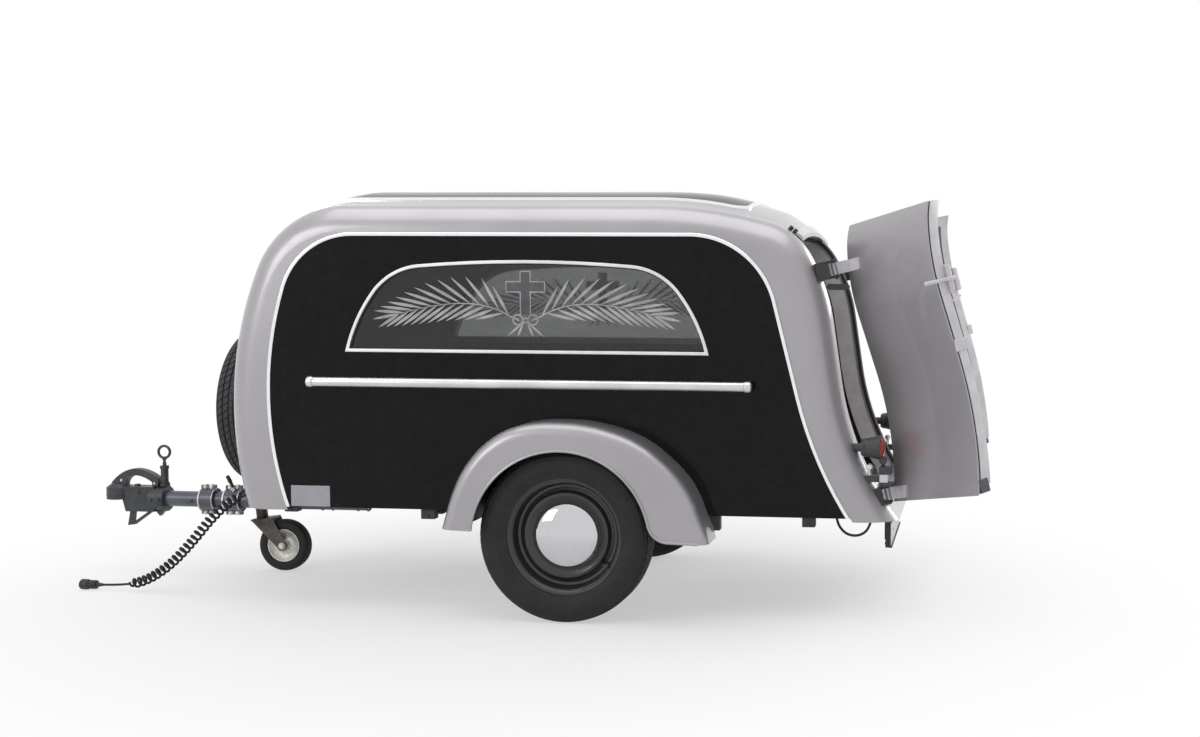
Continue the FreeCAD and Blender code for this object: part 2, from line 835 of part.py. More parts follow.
def door_leaf():
    leaf = band(0, door_thickness, body_half_width)
    zone = hinge_block(-door_below_hinge_mark, door_above_hinge_mark, -door_reach, door_reach,
                       door_gap, door_hinge_y)
    rear_half = block(rear_split, body_rear + door_reach, -door_hinge_y, 0, 0, high)
    leaf = leaf.common(zone).common(rear_half)
    sweep = axis_cylinder(-door_below_hinge_mark - door_reach, door_above_hinge_mark + door_reach,
                          door_hinge_y - leaf_sweep_clearance)
    return leaf.common(sweep)


def swing(shape):
    opened = shape.copy()
    opened.rotate(hinge_mark, door_axis, -door_open_angle)
    return opened


leaf = swing(door_leaf())
nodes["door_leaf_left"] = leaf
nodes["door_leaf_right"] = mirrored(leaf)

skin_clear = body_solid(-seat_gap, body_half_width)
skin_strap = body_solid(-seat_gap - hinge_strap_thickness, body_half_width)
pillar_clear = rounded_body_solid(-seat_gap, body_half_width + seat_gap,
                                  shoulder_radius + seat_gap)


def hinge_arm(mark):
    low = mark - knuckle_length / 2
    top = mark + knuckle_length / 2
    knuckle = axis_cylinder(low, top, knuckle_radius)
    neck = hinge_block(low, top, -hinge_neck, hinge_neck, 0, knuckle_radius + 2 * hinge_neck)
    web = hinge_block(low, top, -hinge_depth, hinge_neck, knuckle_radius + hinge_neck,
                      knuckle_radius + 2 * hinge_neck)
    strap = hinge_block(low, top, -hinge_depth, hinge_depth, knuckle_radius + hinge_neck,
                        hinge_strap_reach).common(skin_strap)
    arm = fuse([knuckle, neck, web, strap])
    arm = arm.cut(skin_clear)
    return arm.cut(axis_cylinder(low - overrun, top + overrun, pin_radius + bearing_gap))


arms = [swing(hinge_arm(mark)) for mark in hinge_places]
nodes["door_hinges_left"] = Part.makeCompound(arms)
nodes["door_hinges_right"] = mirrored(Part.makeCompound(arms))


def hinge_bracket(mark):
    inner = knuckle_length / 2 + hinge_side_gap
    outer = inner + hinge_lug
    parts = []
    for low, top in ((mark - outer, mark - inner), (mark + inner, mark + outer)):
        parts.append(axis_cylinder(low, top, knuckle_radius))
        parts.append(hinge_block(low, top, -hinge_depth, 0, -2 * knuckle_radius, bracket_lap))
    parts.append(hinge_block(mark - outer, mark + outer, -hinge_depth, -hinge_web_back,
                             -4 * knuckle_radius, -knuckle_radius))
    parts.append(axis_cylinder(mark - outer - pin_radius, mark + outer + pin_radius, pin_radius))
    return fuse(parts).cut(pillar_clear)


brackets = Part.makeCompound([hinge_bracket(mark) for mark in hinge_places])
nodes["hinge_brackets"] = Part.makeCompound(brackets.Solids + mirrored(brackets).Solids)

# Coupling: a cast head over the ball, a neck, a collar on the drawbar and a foot below
head_radius = 47.0
head_bottom = 284.0
head_height = 44.0
socket_depth = 32.0
neck_half_width = 30.0
neck_top = 334.0
neck_bottom = 238.0
collar_radius = 47.0
collar_length = 62.0
dome_rise = 15.0
dome_top_share = 0.6
neck_shares = (0.6, 0.85, 0.7)
foot_thickness = 10.0
foot_length = 120.0
foot_drop = 68.0
foot_setback = 46.0
# Shares of the foot's length from its front end and of its drop below the neck
foot_shares = ((0.108, 0.0), (0.0, 1.0), (0.258, 0.94), (1.0, 0.0))
foot_window_shares = ((0.28, 0.1), (0.235, 0.77), (0.778, 0.1))
lug_shares = ((0.92, 0.0), (1.12, 0.42), (1.32, 0.0))
socket_x = -coupling_nose + head_radius


def side_plate(points, half_thickness):
    face = polygon_face([point(x, -half_thickness, z) for x, z in points])
    return face.extrude(point(0, 2 * half_thickness, 0))


def foot_plate(shares, half_thickness):
    front = -coupling_rear - foot_setback - foot_length
    top = neck_bottom + foot_thickness
    return side_plate([(front + foot_length * along, top - foot_drop * down)
                       for along, down in shares], half_thickness)


def coupling_body():
    head = Part.makeCylinder(head_radius, head_height, point(socket_x, 0, head_bottom))
    dome = Part.makeCone(head_radius, head_radius * dome_top_share, dome_rise,
                         point(socket_x, 0, head_bottom + head_height))
    rear = -coupling_rear - collar_length + overrun
    low_front, low_rear, high_front = [socket_x + head_radius * share for share in neck_shares]
    neck_shape = side_plate([(socket_x, head_bottom + head_height + dome_rise / 2),
                             (socket_x, head_bottom), (low_front, head_bottom),
                             (low_rear, neck_bottom), (rear, neck_bottom), (rear, neck_top),
                             (high_front, neck_top)], neck_half_width)
    collar = rod(point(-coupling_rear - collar_length, 0, drawbar_height),
                 point(-coupling_rear, 0, drawbar_height), collar_radius)
    foot = foot_plate(foot_shares, foot_thickness / 2)
    foot = foot.cut(foot_plate(foot_window_shares, foot_thickness))
    lug = foot_plate(lug_shares, foot_thickness)
    whole = fuse([head, dome, neck_shape, collar, foot, lug])
    socket = Part.makeCylinder(ball_socket_radius, socket_depth + overrun,
                               point(socket_x, 0, head_bottom - overrun))
    bore = rod(point(-coupling_rear - overrun - seat_gap, 0, drawbar_height),
               point(0, 0, drawbar_height), drawbar_radius + bearing_gap)
    return whole.cut(socket).cut(bore)


nodes["coupling_body"] = coupling_body()

handle_half_width = 16.0
handle_length = 190.0
handle_height = 66.0
handle_lead = 24.0
# Shares of the handle's length from its front end and of its height above the neck
handle_outer_shares = ((0.0, 0.18), (0.21, 0.73), (0.426, 1.0), (0.705, 0.94), (1.0, 0.485))
handle_outer_foot_shares = ((1.0, 0.0), (0.305, 0.0))
handle_inner_shares = ((0.3, 0.0), (0.337, 0.38), (0.49, 0.62), (0.653, 0.576), (0.874, 0.242))
handle_inner_foot_shares = ((0.874, 0.0),)


def handle_plate(arch_shares, base_shares, low, half_thickness):
    # The arch is one smooth curve and the foot runs straight back to where it starts
    front = socket_x - handle_lead
    arch, foot = [[point(front + handle_length * along, -half_thickness,
                         max(low, neck_top + handle_height * up)) for along, up in shares]
                  for shares in (arch_shares, base_shares)]
    corners = [arch[-1]] + foot + [arch[0]]
    sides = [Part.makeLine(a, b) for a, b in zip(corners, corners[1:])]
    face = Part.Face(Part.Wire([spline_edge(arch)] + sides))
    return face.extrude(point(0, 2 * half_thickness, 0))


def coupling_handle():
    outer = handle_plate(handle_outer_shares, handle_outer_foot_shares, neck_top + seat_gap,
                         handle_half_width)
    inner = handle_plate(handle_inner_shares, handle_inner_foot_shares, neck_top,
                         handle_half_width + overrun)
    head = Part.makeCone(head_radius + seat_gap, head_radius * dome_top_share + seat_gap,
                         dome_rise + seat_gap, point(socket_x, 0, head_bottom + head_height))
    return outer.cut(inner).cut(head)


nodes["coupling_handle"] = coupling_handle()

# Pull ring on its upright sleeve behind the coupling
ring_setback = 14.0
ring_x = -coupling_rear - ring_setback
ring_height = 467.0
ring_radius = 23.0
ring_wire = 5.0
sleeve_radius = 14.0
sleeve_top = 412.0
sleeve = rod(point(ring_x, 0, drawbar_height + collar_radius + seat_gap),
             point(ring_x, 0, sleeve_top), sleeve_radius)
stalk = rod(point(ring_x, 0, sleeve_top), point(ring_x, 0, ring_height - ring_radius), ring_wire)
ring = Part.makeTorus(ring_radius, ring_wire, point(ring_x, 0, ring_height), ACROSS)
nodes["pull_ring"] = fuse([sleeve, stalk, ring])


# Jockey wheel: a clamp on the drawbar, the outer tube, and the inner tube with fork and wheel
def leaned(shape):
    # Shapes on the leaning stem are made upright about the Z axis with zero at the mark
    moved = shape.copy()
    moved.rotate(CENTRE, ACROSS, -jockey_lean)
    moved.translate(point(jockey_x, jockey_y, jockey_mark_height))
    return moved


lean = math.radians(jockey_lean)
jockey_axle_drop = (jockey_mark_height - jockey_wheel_radius
                    + jockey_trail * math.sin(lean)) / math.cos(lean)
jockey_tube_wall = 2.5
jockey_top = 216.0
jockey_tube_low = -62.0
inner_tube_radius = jockey_stem_radius - jockey_tube_wall - bearing_gap
jockey_cap_height = 8.0
fork_gap = 12.0
fork_cheek = 5.0
fork_side_gap = 6.0
jockey_pin_radius = 6.0
jockey_rim_radius = 62.0
jockey_plate_shares = (1.4, 0.7)
jockey_eye_share = 0.9
jockey_web_shares = (0.88, 0.2)

outer_tube = rod(point(0, 0, jockey_tube_low), point(0, 0, jockey_top), jockey_stem_radius)
tube_bore = rod(point(0, 0, jockey_tube_low - overrun), point(0, 0, jockey_top - overrun),
                jockey_stem_radius - jockey_tube_wall)
cap = rod(point(0, 0, jockey_top), point(0, 0, jockey_top + jockey_cap_height),
          jockey_stem_radius + jockey_tube_wall)
nodes["jockey_stem"] = leaned(fuse([outer_tube.cut(tube_bore), cap]))


def jockey_fork():
    crown_place = -jockey_axle_drop + jockey_wheel_radius + fork_gap
    tube = rod(point(0, 0, crown_place), point(0, 0, jockey_top / 2), inner_tube_radius)
    cheek_y = jockey_wheel_width / 2 + fork_side_gap
    back_share, front_share = jockey_plate_shares
    back = -inner_tube_radius * back_share
    front = jockey_trail * front_share
    plate_top = block(back, front, -cheek_y - fork_cheek, cheek_y + fork_cheek,
                      crown_place - fork_cheek, crown_place + fork_cheek / 2)
    reach, drop = [inner_tube_radius * share for share in jockey_web_shares]
    cheeks = []
    for y in (-cheek_y - fork_cheek, cheek_y):
        eye = Part.makeCylinder(inner_tube_radius * jockey_eye_share, fork_cheek,
                                point(jockey_trail, y, -jockey_axle_drop), ACROSS)
        web = polygon_face([point(back, y, crown_place), point(front, y, crown_place),
                            point(jockey_trail + reach, y, -jockey_axle_drop + drop),
                            point(jockey_trail - reach, y, -jockey_axle_drop - drop)])
        cheeks.append(fuse([eye, web.extrude(point(0, fork_cheek, 0))]))
    pin = rod(point(jockey_trail, -cheek_y - 2 * fork_cheek, -jockey_axle_drop),
              point(jockey_trail, cheek_y + 2 * fork_cheek, -jockey_axle_drop), jockey_pin_radius)
    return leaned(fuse([tube, plate_top, pin] + cheeks))


nodes["jockey_fork"] = jockey_fork()


def jockey_ring(profile):
    shape = revolve_profile(profile)
    shape.translate(point(jockey_trail, 0, -jockey_axle_drop))
    return leaned(shape)


half_jockey = jockey_wheel_width / 2
tyre_inner = jockey_rim_radius + seat_gap
jockey_tread_share = 0.62
jockey_shoulder_shares = (0.96, 0.86)
jockey_wall_share = 0.86
jockey_hub_share = 2.6
jockey_web_share = 0.25
jockey_hub_gap = 2.0
tread_half = half_jockey * jockey_tread_share
shoulder_up, shoulder_out = jockey_shoulder_shares
jockey_shoulder = jockey_wheel_radius * shoulder_up
jockey_shoulder_half = half_jockey * shoulder_out
jockey_side = jockey_wheel_radius * jockey_wall_share
nodes["jockey_tyre"] = jockey_ring([
    point(tyre_inner, -half_jockey, 0), point(jockey_side, -half_jockey, 0),
    point(jockey_shoulder, -jockey_shoulder_half, 0),
    point(jockey_wheel_radius, -tread_half, 0), point(jockey_wheel_radius, tread_half, 0),
    point(jockey_shoulder, jockey_shoulder_half, 0),
    point(jockey_side, half_jockey, 0), point(tyre_inner, half_jockey, 0)])
hub_half = half_jockey + fork_side_gap - jockey_hub_gap
hub_outer = jockey_pin_radius * jockey_hub_share
rim_inner = jockey_rim_radius - rim_wall
web_half = half_jockey * jockey_web_share
pin_bore = jockey_pin_radius + bearing_gap
nodes["jockey_rim"] = jockey_ring([
    point(pin_bore, -hub_half, 0), point(hub_outer, -hub_half, 0), point(hub_outer, -web_half, 0),
    point(rim_inner, -web_half, 0), point(rim_inner, -half_jockey, 0),
    point(jockey_rim_radius, -half_jockey, 0), point(jockey_rim_radius, half_jockey, 0),
    point(rim_inner, half_jockey, 0), point(rim_inner, web_half, 0),
    point(hub_outer, web_half, 0), point(hub_outer, hub_half, 0), point(pin_bore, hub_half, 0)])

clamp_band = 42.0
clamp_flange_height = 112.0
clamp_reach = 171.0
clamp_spacing = 98.0
clamp_front_width = 56.0
clamp_rear_width = 63.0
clamp_front = jockey_x - clamp_reach
clamp_rear = clamp_front + clamp_spacing
clamp_places = ((clamp_front, clamp_front + clamp_front_width),
                (clamp_rear, clamp_rear + clamp_rear_width))
link_shares = (0.5, 0.6)
clamp_plate = 8.0
stem_clamp_radius = 35.0
stem_clamp_low = -58.0
stem_clamp_high = -4.0


def jockey_clamp():
    parts = []
    for start, end in clamp_places:
        parts.append(rod(point(start, 0, drawbar_height), point(end, 0, drawbar_height),
                         clamp_band))
        parts.append(block(start, end, -clamp_plate, clamp_plate,
                           drawbar_height - clamp_flange_height / 2,
                           drawbar_height + clamp_flange_height / 2))
    low_share, high_share = link_shares
    link_low = drawbar_height - clamp_band * low_share
    link_high = drawbar_height + clamp_band * high_share
    parts.append(block(clamp_places[0][0], clamp_places[1][1] + clamp_plate,
                       clamp_band - clamp_plate, clamp_band + clamp_plate, link_low, link_high))
    parts.append(block(clamp_places[1][0] + clamp_plate, clamp_places[1][1] + clamp_plate,
                       clamp_band, jockey_y, link_low, link_high))
    stem_ring = leaned(rod(point(0, 0, stem_clamp_low), point(0, 0, stem_clamp_high),
                           stem_clamp_radius))
    whole = fuse(parts + [stem_ring])
    bore = rod(point(clamp_places[0][0] - overrun, 0, drawbar_height),
               point(clamp_places[1][1] + overrun, 0, drawbar_height),
               drawbar_radius + seat_gap)
    stem_bore = leaned(rod(point(0, 0, -jockey_mark_height), point(0, 0, jockey_top),
                           jockey_stem_radius + seat_gap))
    return whole.cut(bore).cut(stem_bore)


nodes["jockey_clamp"] = jockey_clamp()

# Spare wheel on the front of the body, with its carrier
spare_height = 655.0
spare_standoff = 28.0
spare_x = -body_front - spare_standoff - tyre_width / 2
carrier_radius = 90.0
carrier_plate = 8.0
stub_radius = 30.0
nut_radius = 24.0
nut_length = 26.0


def place_spare(shape):
    moved = shape.copy()
    moved.rotate(CENTRE, UP, -90)
    moved.translate(point(spare_x, 0, spare_height))
    return moved


nodes["spare_tyre"] = place_spare(tyre_solid())
nodes["spare_rim"] = place_spare(rim_solid())


def spare_carrier():
    plate_shape = rod(point(-body_front - carrier_plate, 0, spare_height),
                      point(-body_front + overrun, 0, spare_height), carrier_radius)
    disc_back = spare_x - disc_offset + disc_thickness + seat_gap
    stub = rod(point(disc_back, 0, spare_height), point(-body_front, 0, spare_height), stub_radius)
    return fuse([plate_shape, stub]).cut(skin_clear)


nodes["spare_carrier"] = spare_carrier()
disc_front = spare_x - disc_offset - seat_gap
nodes["spare_nut"] = rod(point(disc_front - nut_length, 0, spare_height),
                         point(disc_front, 0, spare_height), nut_radius)

# Tail lamps on the pillars
lamp_inset = 52.0
lamp_y = body_half_width - lamp_inset
lamp_rise = 245.0
lamp_height = body_bottom + lamp_rise
lamp_reach = 74.4
lamp_rear = rear_x(lamp_height) + lamp_reach
lamp_length_share = 2.6
lamp_cone_share = 1.4
lamp_dome_share = 1.7
lens_edge = 2.0
lamp_radius = 34.0
lamp_neck_radius = 20.0
lens_depth = 11.0
marker_rise = 140.0
marker_height = body_bottom + marker_rise
marker_reach = 28.2
marker_depth = 40.0
marker_front = rear_x(marker_height) + marker_reach
marker_rear = marker_front + marker_depth
marker_half = 22.0
marker_lens = 9.0


def tail_lamp():
    start = lamp_rear - lamp_length_share * lamp_radius
    cone_start = lamp_rear - lamp_cone_share * lamp_radius
    neck = rod(point(start, -lamp_y, lamp_height), point(cone_start, -lamp_y, lamp_height),
               lamp_neck_radius)
    cone = Part.makeCone(lamp_neck_radius, lamp_radius, lamp_rear - cone_start,
                         point(cone_start, -lamp_y, lamp_height), ALONG)
    arm = block(start, marker_front, -lamp_y - marker_half / 2, -lamp_y + marker_half / 2,
                marker_height - marker_half / 2, marker_height + marker_half / 2)
    box = block(marker_front, marker_rear, -lamp_y - marker_half, -lamp_y + marker_half,
                marker_height - marker_half, marker_height + marker_half)
    lamp = fuse([neck, cone]).cut(pillar_clear)
    marker = fuse([arm, box]).cut(pillar_clear)
    return [lamp, marker]


def lamp_lenses():
    dome_radius = lamp_radius * lamp_dome_share
    dome = Part.makeSphere(dome_radius, point(lamp_rear + lens_depth - dome_radius, -lamp_y,
                                              lamp_height))
    lens = rod(point(lamp_rear + seat_gap, -lamp_y, lamp_height),
               point(lamp_rear + lens_depth * 2, -lamp_y, lamp_height),
               lamp_radius - lens_edge).common(dome)
    marker = block(marker_rear + seat_gap, marker_rear + marker_lens, -lamp_y - marker_half,
                   -lamp_y + marker_half, marker_height - marker_half, marker_height + marker_half)
    return [lens, marker]


def sides_compound(shapes):
    return Part.makeCompound(shapes + [mirrored(shape) for shape in shapes])


nodes["tail_lamps"] = sides_compound(tail_lamp())
nodes["lamp_lenses"] = sides_compound(lamp_lenses())

# Blank number-plate board under the rear sill
board_reach = 82.0
board_front = rail_rear_end + board_reach
board_thickness = 18.0
board_drop = 34.0
board_height = 94.0
board_high = body_bottom - board_drop
board_low = board_high - board_height
board_half_width = 262.0
board_hole_spacing = 300.0
board_hole_radius = 3.0
stay_y = 200.0
stay_width = 26.0
stay_thickness = 6.0


def plate_board():
    board = block(board_front, board_front + board_thickness, -board_half_width,
                  board_half_width, board_low, board_high)
    parts = [board]
    stay_top = rail_low - seat_gap
    for y in (-stay_y, stay_y):
        parts.append(block(board_front - stay_thickness, board_front, y - stay_width / 2,
                           y + stay_width / 2, board_low + overrun, stay_top))
        parts.append(block(cross_places[-1], board_front, y - stay_width / 2,
                           y + stay_width / 2, stay_top - stay_thickness, stay_top))
    whole = fuse(parts)
    for y in (-board_hole_spacing / 2, board_hole_spacing / 2):
        whole = whole.cut(rod(point(board_front - overrun, y, (board_low + board_high) / 2),
                              point(board_front + board_thickness + overrun, y,
                                    (board_low + board_high) / 2), board_hole_radius))
    return whole


nodes["plate_board"] = plate_board()


# Cords: a tube of straight runs joined by tangent arcs through a hand-chosen route
route_bend_share = 0.45


def rounded_route(points):
    edges = []
    place = points[0]
    for index in range(1, len(points) - 1):
        before = points[index].sub(points[index - 1])
        after = points[index + 1].sub(points[index])
        setback = min(before.Length, after.Length) * route_bend_share
        before.normalize()
        after.normalize()
        turn = before.getAngle(after)
        radius = setback / math.tan(turn / 2)
        start = points[index].sub(FreeCAD.Vector(before).multiply(setback))
        end = points[index].add(FreeCAD.Vector(after).multiply(setback))
        inward = FreeCAD.Vector(after).sub(before)
        inward.normalize()
        middle = points[index].add(inward.multiply(radius * (1 / math.cos(turn / 2) - 1)))
        edges.append(Part.LineSegment(place, start).toShape())
        edges.append(Part.Arc(start, middle, end).toShape())
        place = end
    edges.append(Part.LineSegment(place, points[-1]).toShape())
    return Part.Wire(edges)


def cord_tube(points, radius):
    route = rounded_route(points)
    start = points[1].sub(points[0])
    section = Part.Wire([Part.Circle(points[0], start, radius).toShape()])
    return route.makePipeShell([section], True, False)


lead_radius = 20.0
lead_y = -345.0
lead_inset = 19.0
lead_rise = 32.0
lead_span = 584.0
lead_floor_gap = 0.5
lead_start_x = -body_front + lead_inset
lead_low = lead_radius + lead_floor_gap
lead_drop = body_bottom + lead_rise - lead_low
# Shares of the lead's span forwards and of its height above the floor
lead_shares = [(0.0, 1.0), (0.13, 0.943), (0.267, 0.75), (0.404, 0.471), (0.555, 0.215),
               (0.726, 0.044), (0.897, 0.0), (1.0, 0.0)]
lead_side_shares = [0.0, 0.0, 0.02, 0.05, 0.06, 0.04, 0.0, 0.0]
lead_side_sway = 200.0
route_points = [point(lead_start_x - lead_span * along, lead_y - lead_side_sway * side,
                      lead_low + lead_drop * up)
                for (along, up), side in zip(lead_shares, lead_side_shares)]
nodes["lead_coil"] = cord_tube(route_points, lead_radius)
gland_radius = 14.0
gland_inside = 80.0
gland = rod(route_points[0], point(-body_front + gland_inside, lead_y, route_points[0].z),
            gland_radius)
nodes["lead_gland"] = gland.cut(skin_clear).cut(nodes["lead_coil"])
plug_radius = 19.0
plug_length = 62.0
plug_end = route_points[-1]
relief_length = 24.0
relief_shares = (0.5, 0.8)
relief_start, relief_end = [plug_radius * share for share in relief_shares]
relief = Part.makeCone(relief_start, relief_end, relief_length,
                       point(plug_end.x - seat_gap, plug_end.y, plug_end.z), ALONG * -1)
plug_body = rod(point(plug_end.x - relief_length, plug_end.y, plug_end.z),
                point(plug_end.x - relief_length - plug_length, plug_end.y, plug_end.z),
                plug_radius)
nodes["lead_plug"] = fuse([relief, plug_body])

cable_radius = 4.5
cable_inset = 10.0
cable_y = -lamp_y - cable_inset
cable_span = 124.0
cable_drop = 112.0
cable_rear_margin = 72.0
cable_start_x = rail_rear_end - cable_rear_margin
# Shares of the cable's span to the rear and of its drop below the floor panel
cable_shares = [(0.0, 0.0), (0.016, 0.533), (0.218, 0.89), (0.484, 1.0), (0.742, 0.944),
                (0.927, 0.73), (1.0, 0.381)]
cable_points = [point(cable_start_x + cable_span * along, cable_y,
                      floor_bottom - seat_gap - cable_drop * down)
                for along, down in cable_shares]
nodes["lamp_cable"] = cord_tube(cable_points, cable_radius)

# The origin goes to the middle of the underside, worked out without the loose lead
cord_names = ("lead_coil", "lead_plug")
solid_names = [name for name in nodes if name not in cord_names]
extent = Part.makeCompound([nodes[name] for name in solid_names]).optimalBoundingBox(False, False)
shift = point(-(extent.XMin + extent.XMax) / 2, -(extent.YMin + extent.YMax) / 2, -extent.ZMin)
print("axle at", round(shift.x, 3), round(shift.y, 3), round(shift.z, 3))

os.makedirs("parts", exist_ok=True)
for name, shape in nodes.items():
    placed = shape.copy()
    placed.translate(shift)
    placed.exportStep("parts/" + name + ".step")
    box = placed.optimalBoundingBox(False, False)
    print(name, placed.isValid(), len(placed.Solids), round(placed.Volume / 1e6, 2),
          [round(v) for v in (box.XMin, box.XMax, box.YMin, box.YMax, box.ZMin, box.ZMax)])
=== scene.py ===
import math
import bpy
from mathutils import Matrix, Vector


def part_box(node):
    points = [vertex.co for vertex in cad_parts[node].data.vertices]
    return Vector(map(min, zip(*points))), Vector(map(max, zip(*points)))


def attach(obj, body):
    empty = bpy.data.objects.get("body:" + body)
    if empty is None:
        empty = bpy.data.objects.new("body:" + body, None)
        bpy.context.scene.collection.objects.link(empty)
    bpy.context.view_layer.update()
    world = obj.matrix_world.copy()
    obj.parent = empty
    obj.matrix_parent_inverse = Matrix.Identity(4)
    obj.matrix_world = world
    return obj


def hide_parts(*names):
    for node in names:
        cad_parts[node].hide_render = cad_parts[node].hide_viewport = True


bl_info = {
    "name": "Hearse Trailer",
    "version": (1, 0, 0),
    "blender": (4, 5, 0),
    "location": "3D View > Sidebar > Hearse",
    "description": "Dresses the packed hearse trailer with its coachwork, wheels, glass and lead",
    "category": "Object",
}

import bmesh
import bpy
from bpy.props import FloatProperty, FloatVectorProperty, IntProperty, PointerProperty
from mathutils import Matrix, Vector

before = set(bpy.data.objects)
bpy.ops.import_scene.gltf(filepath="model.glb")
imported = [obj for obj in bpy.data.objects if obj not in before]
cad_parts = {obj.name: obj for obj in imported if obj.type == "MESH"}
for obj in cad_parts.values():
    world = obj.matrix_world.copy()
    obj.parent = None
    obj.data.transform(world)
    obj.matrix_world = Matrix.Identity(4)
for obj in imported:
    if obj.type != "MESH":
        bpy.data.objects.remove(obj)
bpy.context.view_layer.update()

MM = 0.001
AXLE_X = sum(corner.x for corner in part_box("tyre_left")) / 2
FULL_TURN = 2 * math.pi
QUARTER_TURN = math.pi / 2
BODY = "trailer_body"

# Sizes in millimetres, in the same frame as the solids before their origin was moved:
# X to the rear from the axle, Y to the right-hand side and Z up from the floor
BODY_HALF_WIDTH = 520.0
BODY_FRONT = 1235.0
BODY_BOTTOM = 340.0
BODY_TOP = 1392.0
SHOULDER_RADIUS = 100.0
FLAT_HALF_WIDTH = BODY_HALF_WIDTH - SHOULDER_RADIUS
WALL = 25.0
CROWN_HEIGHT = 62.0
SKIRT_BOTTOM = 352.0
ROOF_REAR_START = 240.0
BULGE_RADIUS = 1285.0
BULGE_HEIGHT = 690.0
CORNER_RADIUS = 350.0

TRIM_FRONT = 1075.0
TRIM_TOP = 1295.0
TRIM_REAR_START = 400.0
TRIM_BULGE_RADIUS = 1217.0
TRIM_BULGE_HEIGHT = 740.0
TRIM_CORNER_RADIUS = 268.0

DOOR_HINGE_X = 970.0
DOOR_HINGE_Y = 430.0
DOOR_HINGE_HEIGHT = 800.0
DOOR_TILT = math.radians(13.8)
DOOR_OPEN_ANGLE = math.radians(136.0)
DOOR_GAP = 10.0
DOOR_ABOVE = 522.0
DOOR_BELOW = 415.0
DOOR_THICKNESS = 60.0

WINDOW_CENTRE = -162.0
WINDOW_SILL = 888.0
WINDOW_HEIGHT = 315.0
GLASS_OUTER_Y = 510.0

WHEEL_RADIUS = 288.0
WHEEL_PLANE = 576.0
DRAWBAR_HEIGHT = 287.0
JOCKEY_Y = 100.0


def at(x, y, z):
    """A place in millimetres from the axle, as metres in the frame."""
    return Vector((AXLE_X + x * MM, y * MM, z * MM))


def front_corner(front, bulge_radius, bulge_height, corner_radius, top):
    """Where a front corner's arc has its centre along the body, and the degrees it turns."""
    reach = bulge_radius - corner_radius
    rise = top - corner_radius - bulge_height
    centre = front + bulge_radius - math.sqrt(reach * reach - rise * rise)
    return centre, math.degrees(math.acos(rise / reach))


CORNER_X, CORNER_TURN = front_corner(-BODY_FRONT, BULGE_RADIUS, BULGE_HEIGHT, CORNER_RADIUS,
                                     BODY_TOP)
TRIM_CORNER_X, TRIM_CORNER_TURN = front_corner(-TRIM_FRONT, TRIM_BULGE_RADIUS,
                                               TRIM_BULGE_HEIGHT, TRIM_CORNER_RADIUS, TRIM_TOP)

DOOR_AXIS = Vector((-math.sin(DOOR_TILT), 0, math.cos(DOOR_TILT)))
DOOR_OUTWARD = Vector((math.cos(DOOR_TILT), 0, math.sin(DOOR_TILT)))
HINGE_MARK = at(DOOR_HINGE_X, -DOOR_HINGE_Y, DOOR_HINGE_HEIGHT)


def at_hinge(along, outward, inboard):
    """A place along, outward of and inboard of the left door's hinge line, in millimetres."""
    across = Vector((0, inboard * MM, 0))
    return HINGE_MARK + DOOR_AXIS * along * MM + DOOR_OUTWARD * outward * MM + across


def placed(place, turn, axis="Z"):
    """The transform that turns a shape about an axis and carries it to its place."""
    return Matrix.Translation(place) @ Matrix.Rotation(turn, 4, axis)


# Making and finishing meshes


def only_verts(items):
    return [item for item in items if isinstance(item, bmesh.types.BMVert)]


def only_edges(items):
    return [item for item in items if isinstance(item, bmesh.types.BMEdge)]


def only_faces(items):
    return [item for item in items if isinstance(item, bmesh.types.BMFace)]


def whole(bm):
    return bm.verts[:] + bm.edges[:] + bm.faces[:]


def link_new(name, data):
    """A new object of this data, in the scene."""
    made = bpy.data.objects.new(name, data)
    bpy.context.scene.collection.objects.link(made)
    return made


def evaluated_mesh(piece):
    """A piece's mesh with its modifiers, or the mesh that a curve makes."""
    bpy.context.view_layer.update()
    graph = bpy.context.evaluated_depsgraph_get()
    return bpy.data.meshes.new_from_object(piece.evaluated_get(graph))


def mesh_of_curve(curve):
    holder = link_new("holder", curve)
    mesh = evaluated_mesh(holder)
    bpy.data.objects.remove(holder)
    return mesh


def opened(mesh):
    """A bmesh of a mesh."""
    bm = bmesh.new()
    bm.from_mesh(mesh)
    return bm


def store(bm, mesh, limit=35.0):
    """Put a bmesh into a mesh, smooth but for edges that bend more than the limit."""
    for face in bm.faces:
        face.smooth = True
    for edge in bm.edges:
        edge.smooth = len(edge.link_faces) == 2 and edge.calc_face_angle(0) < math.radians(limit)
    bm.to_mesh(mesh)
    bm.free()
    return mesh


def to_object(bm, name, limit=35.0, turn_out=True):
    """Make an object of a bmesh, with its hard edges marked.

    Its faces are turned outwards, or left as they are wound where that can't be worked out.
    """
    if turn_out:
        bmesh.ops.recalc_face_normals(bm, faces=bm.faces[:])
    else:
        bm.normal_update()
    return link_new(name, store(bm, bpy.data.meshes.new(name), limit))


def finish_piece(piece, finish, nodes=(), body=BODY, even_normals=True):
    """Give a piece its finish and its body, and hide the solids of the nodes that it stands for.
    """
    piece.data.materials.clear()
    piece.data.materials.append(FINISHES[finish])
    if even_normals:
        piece.modifiers.new("even normals", "WEIGHTED_NORMAL").keep_sharp = True
    if nodes:
        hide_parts(*nodes)
    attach(piece, body)
    return piece


def add_piece(bm, name, finish, nodes=(), body=BODY, limit=35.0, even_normals=True):
    """Make a finished piece of a bmesh."""
    return finish_piece(to_object(bm, name, limit), finish, nodes, body, even_normals)


